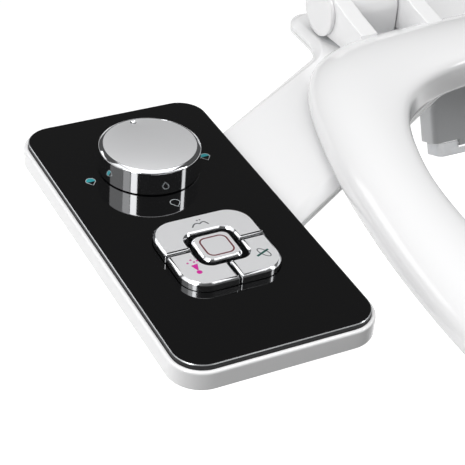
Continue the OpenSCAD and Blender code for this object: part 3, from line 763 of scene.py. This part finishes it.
makeButtons(buttons)
print("buttons made")


base = dict(half=105.0, corner=12.0, rear=28.0, front=-62.0, rise=31.6, fillet=22.0, filletY=-1.2,
            wallX=-190.0,
            armRear=-67.0, armFront=-146.0, bend=(-36.4, -122.0), bendRadius=60.0,
            seatHole=26.3, trayHole=22.3,
            boltX=73.0, slot=(0.0, -26.5), slotHalf=(50.5, 9.2), screwWell=2.6, padWell=7.0,
            # inset and height, up the cover and up the tray
            cover=[(0.35, 2.1), (0.12, 2.15), (0.0, 2.3), (0.0, 2.7), (0.0, 3.7), (0.0, 4.05), (0.25, 4.4),
                   (3.7, 6.25), (4.4, 6.4), (5.2, 6.4)],
            tray=[(1.2, 0.0), (0.5, 0.0), (0.15, 0.12), (0.0, 0.4), (0.0, 0.8), (0.0, 1.6), (0.12, 1.85),
                  (0.35, 1.9)])
under = dict(plateHalf=(44.85, 90.85), plateCorner=12.85, bellyMid=(-234.0, -124.0), bellyHalf=(34.0, 72.0),
             bellyCorner=6.0, bellyLow=-19.5, screwX=38.5, screwY=83.5, inlet=(-214.6, -67.0),
             gland=(-240.0, -64.0),
             baseScrews=[(-170, -80), (-120, -50), (-95, -79), (0, 20), (98.5, -52), (98.5, 21.5),
                         (-98.5, 21.5)],
             pads=[(-94, -54), (94, -42), (-28, 14), (28, 14)], bumpers=[(151, -190), (118, -385)])


def baseOutline(b):
    # the plate and its arm, anticlockwise from the right front corner
    h, c = b["half"], b["corner"]
    return (arcPoints((h - c, b["front"] + c), c, -90, 0, 10)
            + arcPoints((h - c, b["rear"] - c), c, 0, 90, 10)
            + arcPoints((c - h, b["rear"] - c), c, 90, 180, 10)
            + arcPoints((-h - b["fillet"], b["filletY"]), b["fillet"], 0, -57.7, 14)
            + [(b["wallX"], b["armRear"]), (b["wallX"], b["armFront"])]
            + arcPoints(b["bend"], b["bendRadius"], 90 + b["rise"], 90, 14))


def plateLoop(points, d, z, wallX):
    # moved inwards, but flush with the panel's wall
    moved = insetPoints(points, d) if d else points
    return flatLoop([(px if px <= wallX else x, y) for (x, y), (px, py) in zip(moved, points)], z)


def makeShell(b, name, node, profile, hole, extra, wells):
    bm = bmesh.new()
    outline = baseOutline(b)
    rows = loft(bm, [plateLoop(outline, d, z, b["wallX"]) for d, z in profile])
    rims = []
    for row, z in ((rows[-1], profile[-1][1]), (rows[0], profile[0][1])):
        loops = [circleLoop((s * b["boltX"] * mm, 0), hole * mm, z * mm) for s in (-1, 1)]
        loops += [flatLoop(points, z) for points in extra]
        inner = [[bm.verts.new(p) for p in loop] for loop in loops]
        fillFlat(bm, [row] + inner)
        rims.append(inner)
    for top, bottom in zip(*rims):
        bridge(bm, top, bottom)
    if wells:
        bm = carved(bm, wells)
    addPiece(name, bm, "base", "white_plastic", [node])


def makeBase(b):
    slot = squarePoints(b["slot"], b["slotHalf"], 1.0, 3)
    wells = [column(p, b["screwWell"], -1, 1, 32) for p in under["baseScrews"]]
    wells += [column(p, b["padWell"], -1, 1) for p in under["pads"]]
    makeShell(b, "baseCover", "base_cover", b["cover"], b["seatHole"], [], [])
    makeShell(b, "baseTray", "base_tray", b["tray"][::-1], b["trayHole"], [slot], wells)


makeBase(base)
print("base made")


seat = dict(
    # half outlines from the rear centre to the front centre
    outer=[(0, -26), (52, -27), (98, -31), (124, -42), (141, -64), (154, -100), (166, -150),
           (174, -215), (174, -280), (161, -345), (128, -403), (70, -437), (0, -447)],
    inner=[(0, -77), (40, -78), (76, -84), (100, -97), (115, -115), (126, -140), (134, -172),
           (137, -215), (134, -270), (121, -322), (92, -364), (50, -388), (0, -396)],
    # share of the width from the inner edge, share of the height
    section=[(0.93, 0.0), (0.985, 0.06), (1.0, 0.2), (0.985, 0.40), (0.93, 0.58), (0.82, 0.76), (0.66, 0.91),
             (0.42, 1.0), (0.2, 0.985), (0.08, 0.93), (0.025, 0.84), (0.0, 0.68), (0.0, 0.2), (0.02, 0.05),
             (0.07, 0.0)],
    low=10.0, high=30.0)


def seatOutline(half, steps):
    return spline(half + [(-x, y) for x, y in half[-2:0:-1]], steps, closed=True)


def makeSeat(s):
    outer, inner = seatOutline(s["outer"], 6), seatOutline(s["inner"], 6)
    bm = bmesh.new()
    loops = []
    for share, height in spline(s["section"], 2):
        z = s["low"] + (s["high"] - s["low"]) * height
        loops.append(flatLoop([a + (b - a) * share for a, b in zip(inner, outer)], z))
    loft(bm, loops, closed=True)
    addPiece("seatRing", bm, "seat", "white_plastic", ["seat_ring"], sharp=50)


makeSeat(seat)
print("seat made")


hinge = dict(height=22.0, barrel=13.0, post=(59.0, 87.0), foot=6.4, edge=0.7, well=8.0, wellLow=11.0,
             boltX=73.0,
             pin=3.1, knuckles=((48.0, 58.0), (88.0, 98.0)),
             # radius and distance from the seat's centreline
             cap=[(0, 98.0), (13.3, 98.0), (13.8, 98.3), (14.0, 98.9), (14.0, 99.9), (13.8, 100.4),
                  (13.2, 100.75), (11.0, 101.0), (6.0, 101.0), (0, 101.0)],
             # radius and height of a bolt with its domed head
             bolt=[(0, -59.9), (2.7, -59.9), (3.3, -59.3), (3.3, -8.4), (3.98, -7.8), (3.98, 10.9),
                   (6.6, 11.0),
                   (6.95, 11.2), (7.0, 11.6), (6.9, 12.6), (6.3, 13.8), (5.2, 14.6), (3.6, 14.95), (0, 15.0)],
             crossLong=3.4, crossWide=0.65, crossLow=13.0, threadRoot=3.32, threadCrest=3.98,
             threadPitch=1.25,
             threadEnds=(-59.3, -8.0))


def makeHinge(h):
    z, r = h["height"], h["barrel"]
    post = arcPoints((0, z), r, 0, 180, 32) + [(-r, h["foot"]), (r, h["foot"])]
    arm = [(-40, 12), (-14, 10.0)] + arcPoints((0, z), r, -98, 84, 40) + [(-12, 32.2), (-24, 29.4), (-40, 27)]
    for side, label in ((1, "Right"), (-1, "Left")):
        bm = bmesh.new()
        crossPiece(bm, post, h["post"], h["edge"], side)
        bm = carved(bm, [column((side * h["boltX"], 0), h["well"], h["wellLow"], 50)])
        addPiece("hingeStand" + label, bm, "base", "white_plastic", ["hinge_post_" + label.lower()])
    knuckles, caps = bmesh.new(), bmesh.new()
    for side in (1, -1):
        for ends in h["knuckles"]:
            crossPiece(knuckles, arm, ends, h["edge"], side, ((0, z), h["pin"]))
        sideLathe(caps, (0, z), h["cap"], side)
    addPiece("seatKnuckles", knuckles, "seat", "white_plastic")
    addPiece("hingeEndCaps", caps, "seat", "white_plastic", ["hinge_caps"])


def makeBolts(h):
    head, thread = bmesh.new(), bmesh.new()
    long, wide, low = h["crossLong"], h["crossWide"], h["crossLow"]
    bars = []
    for side in (1, -1):
        x = side * h["boltX"]
        lathe(head, (x * mm, 0), h["bolt"], 48)
        bars += [block((x - a, -b, low), (x + a, b, 16)) for a, b in ((long, wide), (wide, long))]
        threadOn(thread, (x, 0), h["threadRoot"], h["threadCrest"], h["threadPitch"], *h["threadEnds"],
                 looks["steel"])
    addPiece("boltHeads", carved(head, bars), "base", "steel", ["hinge_bolts"])
    addPiece("boltThreads", thread, "base", "steel", sharp=25)


makeHinge(hinge)
makeBolts(hinge)
print("hinge made")


nozzle = dict(half=50.0, depth=7.65, corner=3.2, wall=2.0, foot=-49.0, lean=23.0, rear=-26.8, floor=1.6,
              softEdge=0.35, lugs=(-31.0, 31.0), lugHalf=3.0, lugRadius=1.5, lugTop=-48.0, pinY=-6.1,
              pinZ=-51.2,
              gateHalf=46.5, gateFront=-6.8, gateWall=1.4, gateBack=5.8, gateTop=-49.6, gateLow=-57.0,
              gateCorner=4.0, gateEdge=0.3, eyes=(-27.4, 20.4), eyeLong=7.0, eyeRadius=1.8, eyeBore=1.06,
              tubeX=9.0, tubeR=3.5, tipTop=-46.0, tipLow=-55.0, sprayRadius=0.5, sprayPitch=2.0, sprayLow=6.5)
unitTurn = Matrix.Translation((0, nozzle["rear"] * mm, 0)) @ Matrix.Rotation(radians(-nozzle["lean"]), 4, "X")


def makeNozzleHousing(n):
    lean, foot, wall, e = radians(n["lean"]), n["foot"], n["wall"], n["softEdge"]

    def loopAt(d, z=None):
        # without a height, the loop ends on the level floor of the base
        loop = roundLoop((0, 0), (n["half"] * mm, n["depth"] * mm), n["corner"] * mm, d * mm, 0, 8)
        return [(x, y, (n["floor"] * mm + y * sin(lean)) / cos(lean) if z is None else z * mm)
                for x, y, _ in loop]

    bm = bmesh.new()
    loft(bm, [loopAt(0), loopAt(0, foot + 2 * e), loopAt(0, foot + e), loopAt(e * 0.3, foot + e * 0.3),
              loopAt(e, foot), loopAt(wall - e, foot), loopAt(wall - e * 0.3, foot + e * 0.3),
              loopAt(wall, foot + e), loopAt(wall)], closed=True)
    pinY, r = n["pinY"], n["lugRadius"]
    lug = arcPoints((pinY, n["pinZ"]), r, 180, 360, 12) + [(pinY + r, n["lugTop"]), (pinY - r, n["lugTop"])]
    for x in n["lugs"]:
        crossPiece(bm, lug, (x - n["lugHalf"], x + n["lugHalf"]), 0.3, 1)
    addPiece("nozzleShroud", bm, "base", "grey_plastic", ["nozzle_housing"], turned=unitTurn)


def makeGate(n):
    half, r, front, back = n["gateHalf"], n["gateCorner"], n["gateFront"], n["gateBack"]
    w, e, low, top = n["gateWall"], n["gateEdge"], n["gateLow"], n["gateTop"]
    pin = (n["pinY"], n["pinZ"])
    outer = arcPoints((half - r, front + r), r, 0, -90, 8) + arcPoints((r - half, front + r), r, -90, -180, 8)
    inner = (arcPoints((r - half, front + r), r - w, -180, -90, 8)
             + arcPoints((half - r, front + r), r - w, -90, 0, 8))
    outline = ([(half, back)] + outer + [(-half, back), (w - half, back)] + inner + [(half - w, back)])[::-1]
    steps = [(e, low), (e * 0.3, low + e * 0.3), (0, low + e), (0, top - e), (e * 0.3, top - e * 0.3),
             (e, top)]
    bm = bmesh.new()
    rows = loft(bm, [flatLoop(insetPoints(outline, d) if d else outline, z) for d, z in steps])
    for row in (rows[0], rows[-1]):
        fillFlat(bm, [row])
    reach = n["lugHalf"] + 0.4
    bm = carved(bm, [block((x - reach, -9, n["pinZ"] - 2.6), (x + reach, -3, -40)) for x in n["lugs"]])
    for x in n["eyes"]:
        eye = dotPoints(pin, n["eyeRadius"], 24)
        crossPiece(bm, eye, (x, x + n["eyeLong"]), 0.25, 1, (pin, n["eyeBore"]))
    addPiece("nozzleShield", bm, "gate", "clear_gate", ["nozzle_gate"], turned=unitTurn)


def makeNozzles(n):
    low, top, r = n["tipLow"], n["tipTop"], n["tubeR"]
    for x, label in ((-n["tubeX"], "rear"), (n["tubeX"], "front")):
        bm = bmesh.new()
        lathe(bm, (x * mm, 0), [(0, low), (1.2, low + 0.1), (2.4, low + 0.6), (3.2, low + 1.5),
                                (r, low + 2.8),
                                (r, top - 0.3), (r - 0.15, top), (0, top)], 48)
        holes = []
        for k in range(3):
            drill = column((0, 0), n["sprayRadius"], 1.5, 5.0, 20)
            height = top - n["sprayLow"] + n["sprayPitch"] * k
            turn = Matrix.Translation((x * mm, 0, height * mm)) @ Matrix.Rotation(pi / 2, 4, "X")
            bmesh.ops.transform(drill, matrix=turn, verts=drill.verts)
            holes.append(drill)
        addPiece(label + "SprayTip", carved(bm, holes), label + "_nozzle", "chrome",
                 ["nozzle_" + label + "_tip"], turned=unitTurn)


makeNozzleHousing(nozzle)
makeGate(nozzle)
makeNozzles(nozzle)
print("nozzle unit made")


springs = dict(stems=dict(rear_wash=(0, 17.5), front_wash=(-16, -13), nozzle_clean=(16, -13), stop=(0, 0)),
               keyRadius=2.85, keyWire=0.45, keyTurns=3, keyLow=2.6, keyHigh=5.0, keyKeep=0.54,
               tubeRadius=4.02, tubeWire=0.5, tubeTurns=9, tubeLow=-42.0, tubeHigh=-5.5, tubeKeep=0.24)


def coil(radius, wire, turns, low, high, steps=28, sides=8):
    pitch = (high - low - wire) / turns
    turn = bmesh.new()
    rows = []
    for i in range(steps + 1):
        a = tau * i / steps
        z = low + wire / 2 + pitch * i / steps
        section = dotPoints((radius, z), wire / 2, sides)
        rows.append([(r * mm * cos(a), r * mm * sin(a), height * mm) for r, height in section])
    loft(turn, rows)
    whole = repeated(turn, looks["steel"], stackTree, turns=turns, pitch=pitch)
    bmesh.ops.remove_doubles(whole, verts=whole.verts, dist=mergeGap)
    bmesh.ops.holes_fill(whole, edges=[e for e in whole.edges if e.is_boundary])
    return whole


def makeSprings(p):
    for name, (x, y) in p["stems"].items():
        bm = coil(p["keyRadius"], p["keyWire"], p["keyTurns"], p["keyLow"], p["keyHigh"])
        at = Vector((padMid.x + x * mm, padMid.y + y * mm, 0))
        piece = addPiece(name + "Coil", bm, "base", "steel", ["spring_" + name], sharp=40,
                         turned=Matrix.Translation(at))
        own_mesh(piece)
    for label, side in (("rear", -1), ("front", 1)):
        bm = coil(p["tubeRadius"], p["tubeWire"], p["tubeTurns"], p["tubeLow"], p["tubeHigh"])
        place = unitTurn @ Matrix.Translation((side * nozzle["tubeX"] * mm, 0, 0))
        piece = addPiece(label + "TubeCoil", bm, "base", "steel", ["spring_nozzle_" + label],
                         sharp=40, turned=place)
        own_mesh(piece)


makeSprings(springs)
print("springs made")


def panelCorners(u):
    mid = panelMid / mm
    return [(mid.x + sx * u["screwX"], mid.y + sy * u["screwY"], 0) for sx in (-1, 1) for sy in (-1, 1)]


def makePanelCover(u):
    belly, inside = [c * mm for c in u["bellyMid"]], [c * mm for c in u["bellyHalf"]]
    low = u["bellyLow"]
    inner = [(2.0, low + 2.0), (2.0, 0.5)]
    plate = [(0.3, 0.5), (0.0, 0.2), (0.0, -1.2), (0.3, -1.5)]
    outer = [(-0.6, -1.5), (-0.15, -1.7), (0.0, -2.2), (0.0, low + 2.0), (0.3, low + 0.9), (0.9, low + 0.3),
             (2.0, low)]
    plateHalf = [c * mm for c in u["plateHalf"]]
    bm = bmesh.new()
    loft(bm, profileLoops(belly, inside, u["bellyCorner"] * mm, inner, 8)
         + profileLoops(panelMid, plateHalf, u["plateCorner"] * mm, plate, 8)
         + profileLoops(belly, inside, u["bellyCorner"] * mm, outer, 8), True, True)
    wells = [column(spot[:2], 2.6, -3, -0.1, 32) for spot in panelCorners(u)]
    wells += [column(u["inlet"], 10.46, low - 1, low + 3), column(u["gland"], 4.5, low - 1, low + 3)]
    addPiece("panelUnderside", carved(bm, wells), "base", "white_plastic", ["panel_cover"])


def makeInlet(u):
    at = [c * mm for c in u["inlet"]]
    bm = bmesh.new()
    lathe(bm, at, [(9.5, -33.0), (9.1, -33.5), (7.8, -33.5), (7.5, -33.2), (7.5, -22.5), (4.0, -22.4),
                   (4.0, -5.5),
                   (6.0, -5.5), (6.0, -14.5), (12.0, -14.5), (12.0, -17.5), (9.5, -17.5), (9.5, -21.1)], 48)
    threadOn(bm, u["inlet"], 9.5, 10.45, 1.814, -33.0, -21.1, looks["brass"])
    addPiece("inletThread", bm, "base", "brass", ["inlet_nipple"], sharp=28)
    bm = bmesh.new()
    lathe(bm, at, [(10.5, -20.9), (10.7, -21.1), (12.6, -21.1), (12.9, -20.9), (13.0, -20.6), (13.0, -20.0),
                   (12.9, -19.7), (12.6, -19.5), (10.7, -19.5), (10.5, -19.7), (10.5, -20.9)], 64)
    addPiece("inletWasher", bm, "base", "rubber", ["inlet_seal"], sharp=40)
    ribs = [(r, -27.2 + 1.6 * k + rise) for k in range(4)
            for r, rise in ((5.6, 0.0), (6.0, 0.25), (6.0, 1.0), (5.6, 1.25))]
    bm = bmesh.new()
    lathe(bm, [c * mm for c in u["gland"]], [(2.6, -27.1), (3.0, -27.5), (5.2, -27.5)] + ribs
          + [(5.6, -19.6), (4.5, -19.5), (4.5, -14.5), (2.6, -14.5), (2.6, -27.1)], 48)
    addPiece("leadGrommet", bm, "base", "black_plastic", ["lead_gland"], sharp=35)


def screwSeed(foot):
    # a flat head with a six-sided socket, and its shank
    bm = bmesh.new()
    profile = [(0, 0), (2.2, 0), (2.42, 0.08), (2.5, 0.3), (2.5, 0.9), (2.3, 1.1), (1.2, 1.15), (1.2, 4.4),
               (0.9, 4.7), (0, 4.7)]
    lathe(bm, (0, 0), [(r, foot + z) for r, z in profile], 32)
    return carved(bm, [column((0, 0), 1.05, foot - 1, foot + 0.6, 6)])


def scattered(name, seed, spots, body, slotName, node, sharp=35):
    places = [(spot[0], spot[1], 0) for spot in spots]
    addPiece(name, repeated(seed, looks[slotName], scatterTree, places), body, slotName, [node], sharp=sharp)


def makeRepeats(u):
    scattered("coverScrews", screwSeed(-1.3), panelCorners(u), "base", "steel", "panel_screws", 30)
    scattered("plateScrews", screwSeed(0.05), u["baseScrews"], "base", "steel", "base_screws", 30)
    foot = bmesh.new()
    lathe(foot, (0, 0), [(0, 0.05), (4.6, 0.05), (4.8, 0.3), (5.2, 0.3), (5.4, 0.05), (6.4, 0.05),
                         (6.75, 0.15),
                         (6.9, 0.4), (6.9, 1.0), (0, 1.0)], 48)
    scattered("gripPads", foot, u["pads"], "base", "rubber", "base_pads")
    stop = bmesh.new()
    lathe(stop, (0, 0), [(0, 0.2), (5.2, 0.2), (5.9, 0.4), (6.5, 0.9), (6.85, 1.6), (7.0, 2.6), (7.0, 9.98),
                         (0, 9.98)], 48)
    spots = [(side * x, y) for side in (1, -1) for x, y in u["bumpers"]]
    scattered("seatFeet", stop, spots, "seat", "bumper_rubber", "seat_bumpers")


discs = dict(slotLong=9.0, slotRadius=4.4,
             profile=[(0, 0.3), (21.4, 0.3), (21.85, 0.45), (22.0, 0.8), (22.0, 4.6), (25.6, 4.6),
                      (25.9, 4.75),
                      (26.0, 5.1), (26.0, 5.8), (25.9, 6.1), (25.6, 6.2), (0, 6.2)])


def makeDiscs(d):
    for side, label in ((1, "Right"), (-1, "Left")):
        x, y, r = side * hinge["boltX"], d["slotLong"], d["slotRadius"]
        bm, slot = bmesh.new(), bmesh.new()
        lathe(bm, (x * mm, 0), d["profile"], 96)
        loop = arcPoints((x, y), r, 0, 180, 24) + arcPoints((x, -y), r, 180, 360, 24)
        loft(slot, [flatLoop(loop, z) for z in (-2, 9)], True, True)
        addPiece("slotDisc" + label, carved(bm, [slot]), label.lower() + "_disc", "grey_plastic",
                 ["adjuster_disc_" + label.lower()])


makePanelCover(under)
makeInlet(under)
makeRepeats(under)
makeDiscs(discs)
print("underside made")


inks = dict(teal=printedInk("tealInk", (0.02, 0.23, 0.26, 1)),
            pale=printedInk("paleInk", (0.42, 0.45, 0.46, 1)),
            magenta=printedInk("magentaInk", (0.42, 0.01, 0.22, 1)),
            green=printedInk("greenInk", (0.01, 0.07, 0.06, 1)),
            red=printedInk("redInk", (0.09, 0.004, 0.010, 1)),
            slate=printedInk("slateInk", (0.07, 0.075, 0.08, 1)))
marks = dict(orbit=28.7, shift=(-0.7, -1.85), dropLong=5.6, dropWide=2.2, line=0.24, lift=0.03, sink=0.02,
             glassTop=10.0, keyTop=14.25, squareHalf=6.2, squareCorner=3.0, squareLine=0.7,
             # angle round the knob, and how much of the drop is filled
             drops=((180, 0.5), (0, 0.42), (-90, 0.0), (90, 1.0)))


def printLoops(bm, loops, z):
    # a thin raised area between an outline and the holes in it
    rims = []
    for height in (z - marks["sink"], z + marks["lift"]):
        rows = [[bm.verts.new(p) for p in flatLoop(loop, height)] for loop in loops]
        fillFlat(bm, rows)
        rims.append(rows)
    for low, high in zip(*rims):
        bridge(bm, low, high)


def printLine(bm, points, width, z, closed=False):
    pts = [Vector(p) for p in points]
    n = len(pts)
    sides = ([], [])
    for i, p in enumerate(pts):
        back = pts[i - 1] if closed or i else p
        ahead = pts[(i + 1) % n] if closed or i < n - 1 else p
        along = (ahead - back).normalized()
        off = Vector((-along.y, along.x)) * width / 2
        sides[0].append(tuple(p + off))
        sides[1].append(tuple(p - off))
    if closed:
        printLoops(bm, list(sides), z)
    else:
        printLoops(bm, [sides[0] + sides[1][::-1]], z)


def dropShape(centre):
    # pointed towards the front
    w, tall = marks["dropWide"], marks["dropLong"]
    cx, cy = centre
    head = arcPoints((cx, cy + tall / 2 - w), w, -20, 200, 24)
    return head + [(cx - w * 0.55, cy - tall * 0.22), (cx, cy - tall / 2), (cx + w * 0.55, cy - tall * 0.22)]


def clipAbove(loop, level):
    # the part of an outline that lies above a level
    out = []
    for i, (x, y) in enumerate(loop):
        px, py = loop[i - 1]
        if (py > level) != (y > level):
            t = (level - py) / (y - py)
            out.append((px + (x - px) * t, level))
        if y > level:
            out.append((x, y))
    return out


def makeMarks(m):
    teal, pale = bmesh.new(), bmesh.new()
    kx, ky = knobCentre.x / mm + m["shift"][0], knobCentre.y / mm + m["shift"][1]
    for angle, share in m["drops"]:
        cx, cy = kx + m["orbit"] * cos(radians(angle)), ky + m["orbit"] * sin(radians(angle))
        shape = dropShape((cx, cy))
        printLine(pale, shape, m["line"], m["glassTop"], True)
        if share:
            level = cy + m["dropLong"] * (0.5 - share)
            printLoops(teal, [clipAbove(insetPoints(shape, m["line"] * 0.8), level)], m["glassTop"])
    addPiece("dropFills", teal, "base", "black_glass", finishes=[inks["teal"]], sharp=40)
    addPiece("dropOutlines", pale, "base", "black_glass", finishes=[inks["pale"]], sharp=40)
    px, py, top = padMid.x / mm, padMid.y / mm, m["keyTop"]

    def at(x, y):
        return (px + x, py + y)

    def keyMark(name, bm, body, ink):
        addPiece(name, bm, body, "chrome", finishes=[inks[ink]], sharp=40)

    square = bmesh.new()
    half = (m["squareHalf"], m["squareHalf"])
    printLine(square, squarePoints((px, py), half, m["squareCorner"], 8), m["squareLine"], top, True)
    keyMark("stopMark", square, "stop_button", "red")
    figure = bmesh.new()
    printLoops(figure, [dotPoints(at(-15.0, -14.2), 1.25)], top)
    printLoops(figure, [[at(-15.3, -12.7), at(-14.6, -12.7), at(-13.4, -8.7), at(-16.6, -9.1)]], top)
    for x, y in ((-15.1, -5.5), (-12.7, -6.8), (-17.2, -7.1), (-14.2, -7.2)):
        printLoops(figure, [dotPoints(at(x, y), 0.5)], top)
    keyMark("frontWashMark", figure, "front_wash_button", "magenta")
    rod = bmesh.new()
    printLine(rod, [at(12.6, -13.3), at(15.8, -11.9), at(19.1, -10.5)], 1.0, top)
    keyMark("nozzleCleanRod", rod, "nozzle_clean_button", "green")
    ring = bmesh.new()
    c = Vector(at(16.5, -11.9))
    long, short = Vector((3.3, -6.2)).normalized() * 3.5, Vector((6.2, 3.3)).normalized() * 1.5
    oval = [tuple(c + long * cos(tau * i / 40) + short * sin(tau * i / 40)) for i in range(40)]
    printLine(ring, oval, 0.45, top, True)
    keyMark("nozzleCleanRing", ring, "nozzle_clean_button", "slate")
    arcs = bmesh.new()
    wave = ((-4.4, 15.0), (-2.8, 16.9), (-1.2, 17.3), (-0.1, 16.7), (1.0, 17.4), (2.3, 17.3), (3.5, 15.2))
    printLine(arcs, spline([at(x, y) for x, y in wave], 5), 0.62, top)
    for x, y in ((-0.3, 19.2), (1.0, 19.3)):
        printLoops(arcs, [dotPoints(at(x, y), 0.4)], top)
    keyMark("rearWashMark", arcs, "rear_wash_button", "slate")


makeMarks(marks)
print("marks made")


def softbox(name, towards, distance, size, power, aim=(-0.12, -0.14, 0.0)):
    data = bpy.data.lights.new(name, "AREA")
    data.shape = "RECTANGLE"
    data.size, data.size_y = size
    data.energy = power
    lamp = linked(name, data)
    line = Vector(towards).normalized()
    lamp.location = Vector(aim) + line * distance
    lamp.rotation_euler = (-line).to_track_quat("-Z", "Y").to_euler()


def bearing(azimuth, elevation):
    a, e = radians(azimuth), radians(elevation)
    return (sin(a) * cos(e), cos(a) * cos(e), sin(e))


# the floor carries painted light: it glows white further back, a painted glow though it is no lamp, and near
# the front it is dark without glow, a painted shade that keeps the housing's front wall dark
studio = dict(floorDrop=0.34, floorSize=14.0, floorTone=0.86, nearShadeTone=0.20, floorPaintedGlow=0.34, nearEdge=0.40,
              nearFade=0.42, ring=0.09, sky=1.4, rise=0.80, band=0.12,
              # azimuth, elevation, distance, size and power
              lamps=(("overheadBox", 20, 82, 1.6, (1.6, 1.2), 8),
                     ("leftStrip", -117, 36, 1.3, (0.26, 0.9), 7),
                     ("leftPanel", -101, 36, 1.35, (0.32, 0.9), 2.6),
                     ("leftWing", -76, 36, 1.4, (0.7, 0.9), 2.2),
                     ("frontCard", 146, 51, 1.5, (0.7, 0.36), 1.3),
                     ("rearLeftCard", -40, 20, 1.5, (0.6, 0.34), 1.2),
                     ("rightStrip", 121, 36, 1.5, (0.22, 0.9), 4.5)))


def makeStudio(s):
    bm = bmesh.new()
    bmesh.ops.create_grid(bm, x_segments=1, y_segments=1, size=s["floorSize"])
    mesh = bpy.data.meshes.new("studioFloor")
    bm.to_mesh(mesh)
    bm.free()
    floor = linked("studioFloor", mesh)
    floor.location.z = cadBox[0].z - s["floorDrop"]
    floorShading = Look("floorGlowAndShade", {"Roughness": 0.8, "Specular IOR Level": 0.1,
                               "Emission Strength": s["floorPaintedGlow"]})
    # by the floor's y place: painted shade near the front, painted glow behind it
    near = ((floorShading.parts(floorShading.place())[1] + s["nearEdge"]) / s["nearFade"]).clip()
    floorShading.feed("Base Color", floorShading.mix(near, grey(s["nearShadeTone"]), grey(s["floorTone"])))
    floorShading.feed("Emission Color", floorShading.mix(near, grey(0.0), grey(1.0)))
    mesh.materials.append(floorShading.material)
    world = bpy.data.worlds.new("studioSky")
    world.use_nodes = True
    scene.world = world
    sky = Tree(world.node_tree)
    direction = sky.node("TexCoord", out="Generated")
    above = ((sky.parts(direction)[2] - s["rise"]) / s["band"]).clip()
    tone = sky.node("Mix", {"data_type": "RGBA"}, {0: above, 6: grey(s["ring"]), 7: grey(s["sky"])}, 2)
    plug(world.node_tree, world.node_tree.nodes["Background"].inputs["Color"], tone)
    scene.view_settings.view_transform = "Standard"
    for name, azimuth, elevation, distance, size, power in s["lamps"]:
        softbox(name, bearing(azimuth, elevation), distance, size, power)


makeStudio(studio)
print("studio made")
